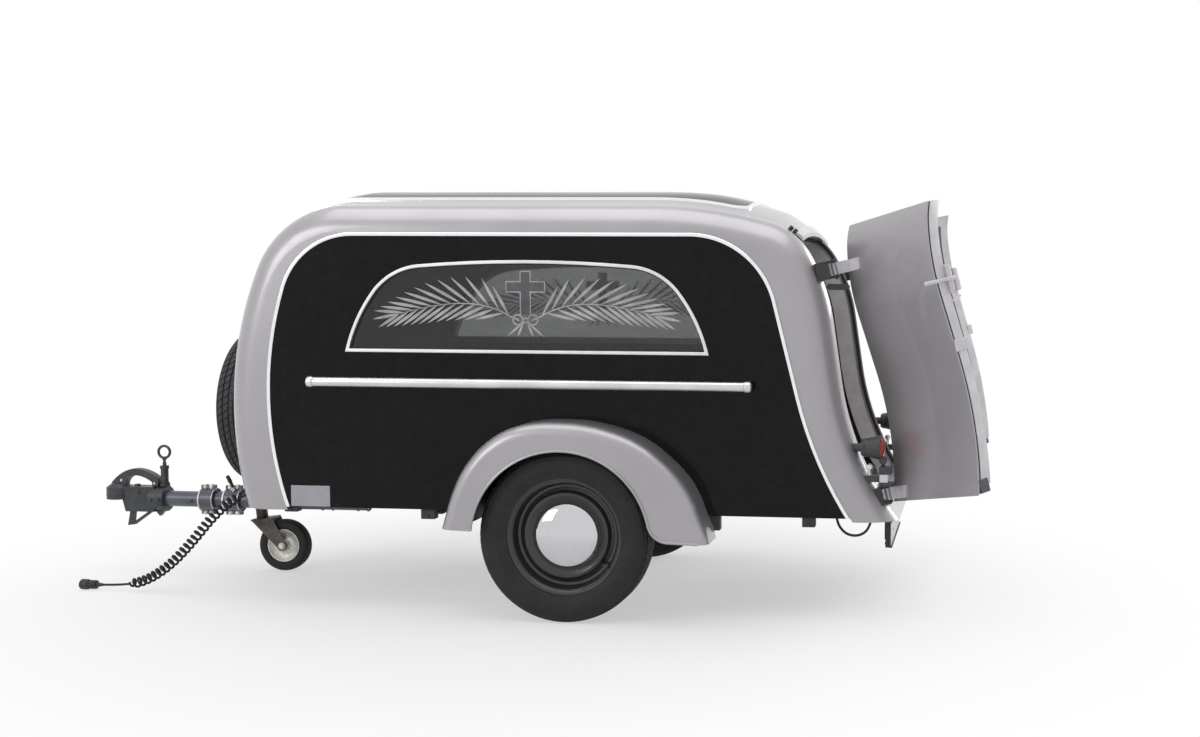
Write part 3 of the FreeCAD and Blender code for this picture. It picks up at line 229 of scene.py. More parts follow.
def carve(piece, cutters, operation="DIFFERENCE"):
    """Cut closed shapes out of a piece, or keep only what it shares with them."""
    for cutter in cutters:
        modifier = piece.modifiers.new("carve", "BOOLEAN")
        modifier.operation = operation
        modifier.solver = "EXACT"
        modifier.object = cutter
    piece.data = evaluated_mesh(piece)
    piece.modifiers.clear()
    for cutter in cutters:
        bpy.data.objects.remove(cutter)
    bm = opened(piece.data)
    bmesh.ops.remove_doubles(bm, verts=bm.verts[:], dist=0.00002)
    bmesh.ops.dissolve_degenerate(bm, edges=bm.edges[:], dist=0.00001)
    store(bm, piece.data)
    return piece


def turn_over(piece):
    """Carry a piece's mesh to the other side of the trailer."""
    piece.data.transform(Matrix.Scale(-1, 4, (0, 1, 0)))
    piece.data.flip_normals()


def copy_to_right(piece, name):
    """The same piece on the other side of the trailer."""
    made = link_new(name, piece.data.copy())
    turn_over(made)
    return made


def finish_pair(left, right_name, finish, nodes=(), body=None, even_normals=True):
    """Finish a left piece and its copy on the right; nodes and body are named without a side."""
    for side, piece in (("left", left), ("right", copy_to_right(left, right_name))):
        finish_piece(piece, finish, [node + side for node in nodes],
                     body + side if body else BODY, even_normals)


def mirror_bm(bm):
    """Add the other side's copy of everything in a bmesh."""
    copy = bmesh.ops.duplicate(bm, geom=whole(bm))["geom"]
    bmesh.ops.scale(bm, vec=(1, -1, 1), verts=only_verts(copy))
    bmesh.ops.reverse_faces(bm, faces=only_faces(copy))


def soften(bm, edges, offset, segments=3, clamp=True):
    """Round edges over, by an offset in metres."""
    bmesh.ops.bevel(bm, geom=list(edges), offset=offset, segments=segments, profile=0.5,
                    affect="EDGES", clamp_overlap=clamp, material=-1)


def front_rims(bm):
    """The edges where the faces that look left meet the faces that look sideways."""
    front = {edge for face in bm.faces if face.normal.y < -0.9 for edge in face.edges}
    return [edge for edge in front if any(abs(face.normal.y) < 0.1 for face in edge.link_faces)]


def cut_off(bm, place, away, close=bmesh.ops.edgeloop_fill):
    """Cut away what lies beyond a plane, and close the cut."""
    cut = bmesh.ops.bisect_plane(bm, geom=whole(bm), plane_co=place, plane_no=away,
                                 clear_outer=True)
    close(bm, edges=only_edges(cut["geom_cut"]))


def cut_below(bm, height, close=bmesh.ops.edgeloop_fill):
    cut_off(bm, at(0, 0, height), (0, 0, -1), close)


def turned(bm, profile, steps, matrix=None, closed=True):
    """Spin a profile of radius and reach in millimetres round the Y axis, then place it."""
    old = set(bm.verts)
    verts = [bm.verts.new((radius * MM, reach * MM, 0)) for radius, reach in profile]
    pairs = list(zip(verts, verts[1:]))
    if closed:
        pairs.append((verts[-1], verts[0]))
    edges = [bm.edges.new(pair) for pair in pairs]
    bmesh.ops.spin(bm, geom=verts + edges, cent=(0, 0, 0), axis=(0, 1, 0), angle=FULL_TURN,
                   steps=steps, use_merge=True)
    made = [vert for vert in bm.verts if vert not in old]
    bmesh.ops.remove_doubles(bm, verts=made, dist=0.00001)
    if matrix is not None:
        made = [vert for vert in bm.verts if vert not in old]
        bmesh.ops.transform(bm, matrix=matrix, verts=made)


def half_mirrored(points):
    """A wheel's half profile and its mirror image, as radius and reach."""
    return list(points) + [(radius, -reach) for radius, reach in reversed(points)]


def rod(bm, start, end, radius, segments=24, end_radius=None, round_off=0.0):
    """A capped rod or cone between two places, radii in millimetres."""
    direction = end - start
    turn = direction.to_track_quat("Z", "Y").to_matrix().to_4x4()
    matrix = Matrix.Translation((start + end) / 2) @ turn
    far = radius if end_radius is None else end_radius
    made = bmesh.ops.create_cone(bm, cap_ends=True, segments=segments, radius1=radius * MM,
                                 radius2=far * MM, depth=direction.length, matrix=matrix)["verts"]
    if round_off > 0:
        rims = {edge for vert in made for edge in vert.link_edges
                if any(len(face.verts) > 4 for face in edge.link_faces)}
        soften(bm, rims, round_off * MM)


def block(bm, size, matrix, round_off=0.0):
    """A block with softened edges, its size in millimetres."""
    old_faces = set(bm.faces)
    made = bmesh.ops.create_cube(bm, size=1.0)["verts"]
    bmesh.ops.scale(bm, vec=Vector(size) * MM, verts=made)
    if round_off > 0:
        soften(bm, {edge for vert in made for edge in vert.link_edges}, round_off * MM, 2)
    faces = [face for face in bm.faces if face not in old_faces]
    bmesh.ops.transform(bm, matrix=matrix, verts=list({vert for face in faces
                                                       for vert in face.verts}))


def slab(bm, x0, x1, y0, y1, z0, z1, round_off=0.0):
    """A block with its corners in millimetres from the axle."""
    middle = at((x0 + x1) / 2, (y0 + y1) / 2, (z0 + z1) / 2)
    block(bm, (x1 - x0, y1 - y0, z1 - z0), Matrix.Translation(middle), round_off)


def bolt_head(bm, place, direction, size, height):
    """A six-sided bolt head standing on a surface."""
    rod(bm, place, place + Vector(direction) * height * MM, size, 6, round_off=0.8)


# About how many degrees one step of an outline's arc turns
ARC_STEP = 2.4


def draw_chain(bm, start, way, steps):
    """Draw lines and tangent arcs one after the other, like the outlines of the solids.

    A step is a length, or a radius, the degrees that it turns and its side: 1 turns down
    and -1 turns back up.
    """
    vert = bm.verts.new(start)
    heading = 0.0
    for step in steps:
        angle = math.radians(heading)
        if len(step) == 1:
            vert = bmesh.ops.extrude_vert_indiv(bm, verts=[vert])["verts"][0]
            vert.co += Vector((way * math.cos(angle), 0, -math.sin(angle))) * step[0] * MM
        else:
            radius, turn, side = step
            inward = Vector((-way * math.sin(angle), 0, -math.cos(angle))) * side
            made = bmesh.ops.spin(bm, geom=[vert], cent=vert.co + inward * radius * MM,
                                  axis=(0, 1, 0), angle=math.radians(turn * side * way),
                                  steps=max(4, round(turn / ARC_STEP)))
            vert = only_verts(made["geom_last"])[0]
            heading += side * turn
    return vert


def outline_prism(front_steps, rear_steps, start, half_depth):
    """Close the two chains from one start into a face and stretch it across the trailer."""
    bm = bmesh.new()
    front_end = draw_chain(bm, start, -1, front_steps)
    rear_end = draw_chain(bm, start, 1, rear_steps)
    bm.edges.new((front_end, rear_end))
    bmesh.ops.remove_doubles(bm, verts=bm.verts[:], dist=0.000001)
    bmesh.ops.contextual_create(bm, geom=bm.edges[:])
    made = bmesh.ops.extrude_face_region(bm, geom=bm.faces[:])["geom"]
    bmesh.ops.translate(bm, vec=(0, 2 * half_depth * MM, 0), verts=only_verts(made))
    bmesh.ops.recalc_face_normals(bm, faces=bm.faces[:])
    return bm


def body_prism(inset, half_width):
    """The body's side outline moved inwards, as a plain prism."""
    start = at(CORNER_X, -half_width, BODY_TOP - inset)
    front = [(CORNER_RADIUS - inset, CORNER_TURN, 1), (BULGE_RADIUS - inset, 42.0, 1), (200.0,)]
    rear = [(ROOF_REAR_START - CORNER_X,), (1550.0 - inset, 15.7, 1), (232.0 - inset, 44.3, 1),
            (620.0 - inset, 21.7, 1), (204.0,), (1000.0 + inset, 32.0, -1), (200.0,)]
    return outline_prism(front, rear, start, half_width)


def trim_prism(inset, outer_y, inner_y):
    """The outline of the black side panel as a closed plate on the left side."""
    start = at(TRIM_CORNER_X, -outer_y, TRIM_TOP - inset)
    front = [(TRIM_CORNER_RADIUS - inset, TRIM_CORNER_TURN, 1),
             (TRIM_BULGE_RADIUS - inset, 42.0, 1)]
    rear = [(TRIM_REAR_START - TRIM_CORNER_X,), (300.0 - inset, 76.0, 1), (322.0,),
            (1371.0 + inset, 22.0, -1)]
    return outline_prism(front, rear, start, (outer_y - inner_y) / 2)


# How high the roof's crown is along the body, as places in millimetres and shares of its height
CROWN_SHARES = ((-1150.0, 0.0), (-1100.0, 0.02), (-1044.0, 0.40), (-976.0, 0.76), (-898.0, 0.94),
                (-816.0, 1.0), (452.0, 1.0), (659.0, 0.80), (717.0, 0.58), (772.0, 0.46),
                (830.0, 0.38), (900.0, 0.26), (980.0, 0.0))
# In metres: a length that only the outline's bottom edge passes, and a height below the crown
LONGEST_RIM = 1.9
CROWN_FROM = 1.1


def crown_share(x):
    """The share of the crown's height at a place along the body."""
    for (x0, share0), (x1, share1) in zip(CROWN_SHARES, CROWN_SHARES[1:]):
        if x0 <= x <= x1:
            return share0 + (share1 - share0) * (x - x0) / (x1 - x0)
    return 0.0


def rounded_body(inset, name, bottom):
    """The closed coach body: prism, rounded shoulders and a crowned roof."""
    bm = body_prism(inset, BODY_HALF_WIDTH - inset)
    rims = [edge for edge in bm.edges
            if abs(edge.verts[0].co.y - edge.verts[1].co.y) < 0.0001
            and edge.calc_length() < LONGEST_RIM]
    soften(bm, rims, (SHOULDER_RADIUS - inset) * MM, 14, False)
    wide = [edge for edge in bm.edges
            if abs(edge.verts[0].co.y - edge.verts[1].co.y) > 0.5
            and edge.verts[0].co.z > BODY_BOTTOM * MM]
    bmesh.ops.subdivide_edges(bm, edges=wide, cuts=25, use_grid_fill=True)
    for vert in bm.verts:
        across = vert.co.y / (FLAT_HALF_WIDTH * MM)
        if abs(across) < 0.999 and vert.co.z > CROWN_FROM:
            share = crown_share((vert.co.x - AXLE_X) / MM)
            vert.co.z += CROWN_HEIGHT * MM * share * (1 - across * across)
    cut_below(bm, bottom)
    return to_object(bm, name)


def hinge_box(axis_low, axis_high, out_low, out_high, in_low, in_high, name):
    """A closed box in the leaning frame of the doors."""
    bm = bmesh.new()
    middle = at_hinge((axis_low + axis_high) / 2, (out_low + out_high) / 2,
                      (in_low + in_high) / 2)
    block(bm, (out_high - out_low, in_high - in_low, axis_high - axis_low),
          placed(middle, -DOOR_TILT, "Y"))
    return to_object(bm, name)


def swing_open(piece):
    """Turn a piece of the left door from shut to its open stop."""
    turn = placed(HINGE_MARK, -DOOR_OPEN_ANGLE, DOOR_AXIS)
    piece.data.transform(turn @ Matrix.Translation(-HINGE_MARK))
    return piece


# Finishes, all worked out from Object coordinates


def start_material(name):
    material = bpy.data.materials.new(name)
    material.use_nodes = True
    tree = material.node_tree
    return material, tree, tree.nodes["Principled BSDF"]


def set_sockets(node, *first, **named):
    """Set a node's sockets in their order or by name; another node's socket is linked."""
    pairs = list(zip(node.inputs, first))
    pairs += [(node.inputs[name.replace("_", " ")], value) for name, value in named.items()]
    for socket, value in pairs:
        if isinstance(value, bpy.types.NodeSocket):
            node.id_data.links.new(value, socket)
        else:
            socket.default_value = value


def add_node(tree, kind, *first, **named):
    node = tree.nodes.new("ShaderNode" + kind)
    set_sockets(node, *first, **named)
    return node


def coordinates(tree, stretch=(1, 1, 1)):
    place = add_node(tree, "TexCoord").outputs["Object"]
    return add_node(tree, "Mapping", Vector=place, Scale=stretch).outputs["Vector"]


def noise(tree, vector, scale, detail=3.0, roughness=0.55, distortion=0.0):
    return add_node(tree, "TexNoise", Vector=vector, Scale=scale, Detail=detail,
                    Roughness=roughness, Distortion=distortion).outputs["Fac"]


def bands(tree, vector, direction, scale, distortion=0.0):
    made = add_node(tree, "TexWave", Vector=vector, Scale=scale, Distortion=distortion)
    made.wave_type = "BANDS"
    made.bands_direction = direction
    return made.outputs["Fac"]


def blend_colours(tree, amount, low_colour, high_colour, low=0.35, high=0.65):
    ramp = add_node(tree, "ValToRGB", Fac=amount)
    for index, (place, colour) in enumerate(((low, low_colour), (high, high_colour))):
        ramp.color_ramp.elements[index].position = place
        ramp.color_ramp.elements[index].color = (*colour, 1)
    return ramp.outputs["Color"]


def lay_over(tree, base, layer, amount, way):
    """A colour laid over another by a share, in one of the Mix node's ways."""
    mix = add_node(tree, "Mix")
    mix.data_type = "RGBA"
    mix.blend_type = way
    set_sockets(mix, Factor=amount, A=base, B=layer)
    return mix.outputs["Result"]


def to_range(tree, amount, low, high, start=0.3, end=0.7):
    return add_node(tree, "MapRange", Value=amount, From_Min=start, From_Max=end, To_Min=low,
                    To_Max=high).outputs["Result"]


def bump(tree, height, strength, distance):
    return add_node(tree, "Bump", Height=height, Strength=strength,
                    Distance=distance).outputs["Normal"]


def times(colour, share):
    """A colour made darker or lighter."""
    return [min(1.0, channel * share) for channel in colour]


def coated_finish(name, colour, deeper, roughness, wave, wave_scale, metallic=0.0, coat=0.0,
                  patch_scale=3.0):
    """Paint or moulded plastic: soft colour patches, uneven gloss and a slight wave."""
    material, tree, shader = start_material(name)
    vector = coordinates(tree)
    patches = noise(tree, vector, patch_scale)
    fine = noise(tree, vector, 140.0, 2.0)
    set_sockets(shader, Base_Color=blend_colours(tree, patches, deeper, colour),
                Roughness=to_range(tree, fine, roughness * 0.85, roughness * 1.2),
                Metallic=metallic, Coat_Weight=coat,
                Normal=bump(tree, noise(tree, vector, wave_scale, 1.0), wave, 0.004))
    return material


def silver_lacquer(colour):
    """Metallic lacquer: fine flakes under a clear coat, with smudges."""
    material, tree, shader = start_material("Silver lacquer")
    vector = coordinates(tree)
    flakes = add_node(tree, "TexVoronoi", Vector=vector, Scale=2600.0).outputs["Color"]
    base = blend_colours(tree, noise(tree, vector, 1.7), times(colour, 0.93),
                         times(colour, 1.05))
    smudge = noise(tree, coordinates(tree, (1, 1, 3)), 6.0, 5.0)
    set_sockets(shader, Base_Color=lay_over(tree, base, flakes, 0.10, "OVERLAY"),
                Roughness=to_range(tree, smudge, 0.34, 0.42), Metallic=0.55, Coat_Weight=0.7,
                Coat_Roughness=0.04,
                Normal=bump(tree, noise(tree, vector, 6.0, 1.0), 0.05, 0.006))
    return material


def black_lacquer(name, colour, specular):
    """Deep black gloss with a trace of dust and polishing haze."""
    material, tree, shader = start_material(name)
    vector = coordinates(tree)
    dust = noise(tree, vector, 28.0, 8.0, 0.7)
    dusty = [channel + 0.006 for channel in colour]
    set_sockets(shader, Base_Color=blend_colours(tree, dust, colour, dusty, 0.45, 0.8),
                Roughness=to_range(tree, noise(tree, vector, 3.2, 4.0), 0.06, 0.13),
                Specular_IOR_Level=specular,
                Normal=bump(tree, noise(tree, vector, 5.0, 1.0), 0.04, 0.005))
    return material


def plated_finish(name, colour, roughness):
    """Bright plating with faint polishing marks."""
    material, tree, shader = start_material(name)
    vector = coordinates(tree)
    marks = noise(tree, vector, 60.0, 6.0, 0.7)
    set_sockets(shader, Base_Color=blend_colours(tree, marks, times(colour, 0.94), colour),
                Roughness=to_range(tree, marks, roughness * 0.7, roughness * 1.5), Metallic=1.0,
                Normal=bump(tree, noise(tree, vector, 18.0, 2.0), 0.03, 0.002))
    return material


def brushed_finish(name, colour, roughness, along):
    """Drawn or brushed metal with its lines along one direction."""
    material, tree, shader = start_material(name)
    lines = noise(tree, coordinates(tree, along), 60.0, 4.0, 0.6)
    soft = noise(tree, coordinates(tree), 7.0)
    set_sockets(shader, Base_Color=blend_colours(tree, soft, times(colour, 0.86), colour),
                Roughness=to_range(tree, lines, roughness * 0.8, roughness * 1.3), Metallic=1.0,
                Normal=bump(tree, lines, 0.08, 0.0004))
    return material


def zinc_finish(name, colour, spangle, stain):
    """Galvanised steel: grey spangles, darker where it has been handled."""
    material, tree, shader = start_material(name)
    vector = coordinates(tree)
    grains = add_node(tree, "TexVoronoi", Vector=vector, Scale=spangle).outputs["Distance"]
    stains = noise(tree, vector, 9.0, 6.0, 0.65)
    base = blend_colours(tree, grains, times(colour, 0.85), times(colour, 1.15), 0.1, 0.8)
    dirt = blend_colours(tree, stains, (0.42, 0.36, 0.30), (1, 1, 1), 0.35, 0.6)
    set_sockets(shader, Base_Color=lay_over(tree, base, dirt, stain, "MULTIPLY"),
                Roughness=to_range(tree, stains, 0.62, 0.38), Metallic=0.75,
                Normal=bump(tree, stains, 0.15, 0.0012))
    return material


def rubber_finish(name, colour, dusty, patch_scale=14.0, grain=420.0, depth=0.25):
    """Rubber: matt black with road dust in patches and a fine moulded grain."""
    material, tree, shader = start_material(name)
    vector = coordinates(tree)
    patches = noise(tree, vector, patch_scale, 6.0, 0.65)
    set_sockets(shader, Base_Color=blend_colours(tree, patches, colour, dusty, 0.42, 0.75),
                Roughness=to_range(tree, patches, 0.52, 0.80), Specular_IOR_Level=0.35,
                Normal=bump(tree, noise(tree, vector, grain), depth, 0.0008))
    return material


def wood_finish(name, light, dark, gloss=0.35):
    """Long grain along the trailer, under varnish."""
    material, tree, shader = start_material(name)
    grain = noise(tree, coordinates(tree, (0.6, 9, 9)), 9.0, 7.0, 0.6, 0.6)
    fibre = noise(tree, coordinates(tree, (2, 120, 120)), 8.0)
    set_sockets(shader, Base_Color=blend_colours(tree, grain, dark, light, 0.3, 0.7),
                Roughness=to_range(tree, fibre, gloss * 0.8, gloss * 1.3),
                Normal=bump(tree, fibre, 0.12, 0.0006))
    return material


def tinted_glass(name, colour):
    """Smoked glass with a faint smear of dust."""
    material, tree, shader = start_material(name)
    smear = noise(tree, coordinates(tree, (1, 1, 2.5)), 5.0, 6.0, 0.7)
    dustier = [channel + 0.08 for channel in colour]
    set_sockets(shader, Base_Color=blend_colours(tree, smear, colour, dustier, 0.4, 0.8),
                Roughness=to_range(tree, smear, 0.02, 0.06), Transmission_Weight=1.0, IOR=1.45)
    return material


def etched_finish(name, colour, alpha):
    """Frosted etching on the glass: pale, matt, thinner in patches."""
    material, tree, shader = start_material(name)
    vector = coordinates(tree)
    frost = blend_colours(tree, noise(tree, vector, 18.0, 5.0), times(colour, 0.55), colour,
                          0.3, 0.7)
    set_sockets(shader, Base_Color=frost, Alpha=alpha,
                Roughness=to_range(tree, noise(tree, vector, 90.0), 0.55, 0.75),
                Normal=bump(tree, noise(tree, vector, 700.0), 0.2, 0.0003))
    return material


def lens_finish(name, colour):
    """Moulded lens with fine ribs."""
    material, tree, shader = start_material(name)
    ribs = bands(tree, coordinates(tree), "Z", 90.0)
    set_sockets(shader, Coat_Weight=0.6, Roughness=to_range(tree, ribs, 0.10, 0.22),
                Base_Color=blend_colours(tree, ribs, times(colour, 0.6), colour, 0.1, 0.9),
                Normal=bump(tree, ribs, 0.3, 0.0008))
    return material


def lining_finish(name, colour):
    """Lining cloth with a fine weave."""
    material, tree, shader = start_material(name)
    vector = coordinates(tree)
    shade = noise(tree, vector, 4.0, 4.0)
    weave = bands(tree, vector, "DIAGONAL", 160.0, 1.2)
    set_sockets(shader, Base_Color=blend_colours(tree, shade, times(colour, 0.8), colour),
                Roughness=to_range(tree, shade, 0.8, 0.95), Sheen_Weight=0.25,
                Normal=bump(tree, weave, 0.2, 0.0008))
    return material


FINISHES = {}


def make_finishes(settings):
    """All the finishes of the trailer, by plain names."""
    FINISHES.update({
        "silver": silver_lacquer(settings.silver),
        "black": black_lacquer("Black lacquer", settings.black, 0.15),
        "roof black": black_lacquer("Roof lacquer", (0.012, 0.012, 0.020), 0.04),
        "bright trim": plated_finish("Bright trim", (0.86, 0.86, 0.88), 0.10),
        "hubcap": plated_finish("Hubcap plating", (0.60, 0.60, 0.62), 0.035),
        "window frame": brushed_finish("Pale window frame", (0.74, 0.73, 0.73), 0.42, (1, 8, 8)),
        "rail": brushed_finish("Satin rail", (0.66, 0.66, 0.68), 0.30, (1, 14, 14)),
        "glass": tinted_glass("Smoked glass", (0.30, 0.31, 0.30)),
        "etching": etched_finish("Etching", (0.60, 0.61, 0.62), 0.8),
        "etched cross": etched_finish("Etched cross", (0.13, 0.13, 0.15), 0.85),
        "tyre": rubber_finish("Tyre rubber", (0.010, 0.010, 0.011), (0.036, 0.032, 0.029)),
        "spare tyre": rubber_finish("Spare tyre rubber", (0.036, 0.036, 0.042),
                                    (0.062, 0.060, 0.062)),
        "rim": coated_finish("Black wheel paint", (0.022, 0.022, 0.025), (0.012, 0.012, 0.014),
                             0.28, coat=0.3, wave=0.05, wave_scale=40.0),
        "drum": coated_finish("Cast drum", (0.10, 0.085, 0.07), (0.05, 0.045, 0.04), 0.7,
                              metallic=0.6, patch_scale=20.0, wave=0.3, wave_scale=120.0),
        "underside": coated_finish("Underside paint", (0.030, 0.030, 0.032),
                                   (0.014, 0.014, 0.014), 0.5, patch_scale=9.0, wave=0.15,
                                   wave_scale=60.0),
        "drawbar": coated_finish("Drawbar paint", (0.086, 0.094, 0.128), (0.058, 0.064, 0.090),
                                 0.33, coat=0.25, patch_scale=12.0, wave=0.08, wave_scale=80.0),
        "coupling": coated_finish("Coupling paint", (0.042, 0.046, 0.052),
                                  (0.024, 0.026, 0.030), 0.40, patch_scale=25.0, wave=0.25,
                                  wave_scale=220.0),
        "stem zinc": zinc_finish("Weathered zinc", (0.115, 0.105, 0.095), 70.0, 0.8),
        "zinc": zinc_finish("Bright zinc", (0.66, 0.65, 0.62), 90.0, 0.35),
        "steel": brushed_finish("Turned steel", (0.60, 0.60, 0.61), 0.28, (10, 1, 1)),
        "floor": wood_finish("Coated floor", (0.16, 0.11, 0.07), (0.09, 0.06, 0.04), 0.5),
        "deck": wood_finish("Varnished deck", (0.42, 0.24, 0.11), (0.24, 0.12, 0.05)),
        "lining": lining_finish("Dark lining", (0.115, 0.11, 0.115)),
        "lens": lens_finish("Red lens", (0.62, 0.015, 0.012)),
        "plastic": coated_finish("Moulded plastic", (0.020, 0.020, 0.021),
                                 (0.012, 0.012, 0.012), 0.45, patch_scale=30.0, wave=0.25,
                                 wave_scale=500.0),
        "cord": rubber_finish("Lead rubber", (0.014, 0.014, 0.015), (0.030, 0.030, 0.030),
                              30.0, 900.0, 0.12),
        "seal": rubber_finish("Seal rubber", (0.018, 0.018, 0.018), (0.035, 0.034, 0.033),
                              20.0, 600.0, 0.2),
        "badge": brushed_finish("Blank badge", (0.34, 0.33, 0.36), 0.36, (1, 12, 12)),
        "strip": coated_finish("Pale strip", (0.66, 0.64, 0.67), (0.56, 0.54, 0.57), 0.42,
                               metallic=0.3, patch_scale=16.0, wave=0.12, wave_scale=60.0),
    })


CAD_FINISHES = {
    "hub_drum_left": "drum", "hub_drum_right": "drum", "axle_beam": "underside",
    "leaf_springs": "underside", "chassis_frame": "underside", "floor_panel": "floor",
    "load_deck": "deck", "deck_slides": "steel", "door_frame": "strip",
    "spare_carrier": "underside", "plate_board": "plastic", "lead_gland": "plastic",
    "door_hinges_left": "strip", "door_hinges_right": "strip", "hinge_brackets": "underside",
    "drawbar": "drawbar", "coupling_body": "coupling",
    "coupling_handle": "coupling", "pull_ring": "coupling", "jockey_stem": "stem zinc",
    "jockey_fork": "stem zinc", "jockey_clamp": "drawbar", "spare_nut": "zinc",
}


# Sizes and colours that a user may change


class CoachSettings(bpy.types.PropertyGroup):
    silver: FloatVectorProperty(name="Silver", description="Colour of the coach lacquer",
                                default=(0.36, 0.345, 0.365), size=3, subtype="COLOR",
                                min=0.0, max=1.0)
    black: FloatVectorProperty(name="Black", description="Colour of the side panels",
                               default=(0.0035, 0.0035, 0.004), size=3, subtype="COLOR",
                               min=0.0, max=1.0)
    bead_width: FloatProperty(name="Bead width", description="Width of the bright side bead",
                              default=0.013, unit="LENGTH")
    bead_height: FloatProperty(name="Bead height", description="How far the bead stands out",
                               default=0.005, unit="LENGTH")


class WheelSettings(bpy.types.PropertyGroup):
    pitches: IntProperty(name="Tread pitches", description="Tread blocks round a road tyre",
                         default=68, min=24, max=120)
    groove_depth: FloatProperty(name="Groove depth", description="Depth of the tread grooves",
                                default=0.0065, unit="LENGTH")


class LeadSettings(bpy.types.PropertyGroup):
    turns: IntProperty(name="Turns", description="Turns of the curly lead", default=27,
                       min=5, max=60)
    diameter: FloatProperty(name="Lead diameter", description="Thickness of the lead itself",
                            default=0.0085, unit="LENGTH")
    coil_radius: FloatProperty(name="Coil radius", description="Middle of the lead in its coil",
                               default=0.0155, unit="LENGTH")


class StageSettings(bpy.types.PropertyGroup):
    lens: FloatProperty(name="Lens", description="Focal length of the camera in millimetres",
                        default=44.22)
    world_level: FloatProperty(name="World level", description="Light from all round",
                               default=0.62)


# The stage: camera, lamps and floor


CAMERA_PLACE = (1372.0, -5342.0, 1146.0)
CAMERA_TURN = math.radians(6.08)
CAMERA_DOWN = math.radians(3.49)
CAMERA_ROLL = math.radians(0.30)
CAMERA_SHIFT = -0.1883
# Each lamp's name, its place and aim in metres, its width and depth, and its power in watts
LAMPS = (("Overhead", (0.2, -0.6, 4.2), (0.2, 0.3, 0), 5.2, 3.2, 78.0),
         ("Front left", (-3.6, -4.2, 2.6), (0, 0, 0.8), 2.4, 2.4, 60.0),
         ("Rear right", (4.4, 3.6, 2.8), (0.4, 0, 0.7), 2.4, 2.4, 75.0))


class HEARSE_OT_stage(bpy.types.Operator):
    """Set up the camera, the soft studio light and the pale floor"""

    bl_idname = "hearse.stage"
    bl_label = "Stage"

    def execute(self, context):
        scene = context.scene
        settings = scene.hearse_stage
        scene.view_settings.view_transform = "Standard"
        data = bpy.data.cameras.new("Camera")
        data.lens = settings.lens
        data.sensor_width = 36.0
        data.shift_x = CAMERA_SHIFT
        data.clip_end = 200.0
        camera = link_new("Camera", data)
        camera.matrix_world = (placed(at(*CAMERA_PLACE), CAMERA_TURN)
                               @ Matrix.Rotation(QUARTER_TURN - CAMERA_DOWN, 4, "X")
                               @ Matrix.Rotation(CAMERA_ROLL, 4, "Z"))
        scene.camera = camera
        self.light_world(scene, settings.world_level)
        for lamp in LAMPS:
            self.add_lamp(*lamp)
        self.make_floor()
        make_finishes(scene.hearse_coach)
        return {"FINISHED"}

    def light_world(self, scene, level):
        world = bpy.data.worlds.new("Studio")
        world.use_nodes = True
        scene.world = world
        tree = world.node_tree
        set_sockets(tree.nodes["Background"], Color=(1, 1, 1, 1),
                    Strength=self.seen_rays(tree, level))

    def maths(self, tree, operation, first, second):
        node = add_node(tree, "Math", first, second)
        node.operation = operation
        return node.outputs["Value"]

    def seen_rays(self, tree, unseen):
        """A level that is 1 for camera, glossy and transmitted rays."""
        rays = add_node(tree, "LightPath").outputs
        seen = self.maths(tree, "MAXIMUM", rays["Is Camera Ray"], rays["Is Glossy Ray"])
        seen = self.maths(tree, "MAXIMUM", seen, rays["Is Transmission Ray"])
        return to_range(tree, seen, unseen, 1.0, 0.0, 1.0)

    def add_lamp(self, name, place, aim, width, depth, power):
        data = bpy.data.lights.new(name, "AREA")
        data.shape = "RECTANGLE"
        data.size = width
        data.size_y = depth
        data.energy = power
        lamp = link_new(name, data)
        lamp.location = place
        direction = Vector(aim) - Vector(place)
        lamp.rotation_euler = direction.to_track_quat("-Z", "Y").to_euler()

    def make_floor(self):
        """A pale floor that fades to plain white away from the trailer's shadow."""
        bm = bmesh.new()
        bmesh.ops.create_grid(bm, x_segments=1, y_segments=1, size=40.0)
        floor = to_object(bm, "Floor")
        material, tree, shader = start_material("Pale floor")
        set_sockets(shader, Base_Color=(0.80, 0.80, 0.80, 1), Roughness=0.9,
                    Specular_IOR_Level=0.1)
        distance = add_node(tree, "VectorMath", add_node(tree, "TexCoord").outputs["Object"])
        distance.operation = "LENGTH"
        fade = add_node(tree, "MapRange", Value=distance.outputs["Value"], From_Min=0.9,
                        From_Max=2.6, To_Min=0.5, To_Max=1.0)
        fade.interpolation_type = "SMOOTHSTEP"
        share = self.maths(tree, "MULTIPLY", fade.outputs["Result"], self.seen_rays(tree, 0.0))
        glow = add_node(tree, "Emission", Strength=1.0)
        mix = add_node(tree, "MixShader", share, shader.outputs["BSDF"],
                       glow.outputs["Emission"])
        set_sockets(tree.nodes["Material Output"], Surface=mix.outputs["Shader"])
        floor.data.materials.append(material)


# Cords


def smooth_route(name, points):
    """A curve whose one smooth line has these places as its control points."""
    curve = bpy.data.curves.new(name, "CURVE")
    curve.dimensions = "3D"
    curve.resolution_u = 16
    spline = curve.splines.new("NURBS")
    spline.points.add(len(points) - 1)
    for control, place in zip(spline.points, points):
        control.co = (*place, 1)
    spline.order_u = 3
    spline.use_endpoint_u = True
    return curve


def route_points(curve):
    """The places that a curve with no thickness runs through."""
    return [vert.co.copy() for vert in mesh_of_curve(curve).vertices]


def along_route(places, share):
    """The place and direction at a share of a route's length."""
    lengths = [(b - a).length for a, b in zip(places, places[1:])]
    wanted = share * sum(lengths)
    for index, length in enumerate(lengths):
        if wanted <= length or index == len(lengths) - 1:
            direction = (places[index + 1] - places[index]).normalized()
            return places[index] + direction * min(wanted, length), direction
        wanted -= length


def thicken(curve, diameter):
    curve.bevel_depth = diameter / 2
    curve.bevel_resolution = 3
    curve.use_fill_caps = True


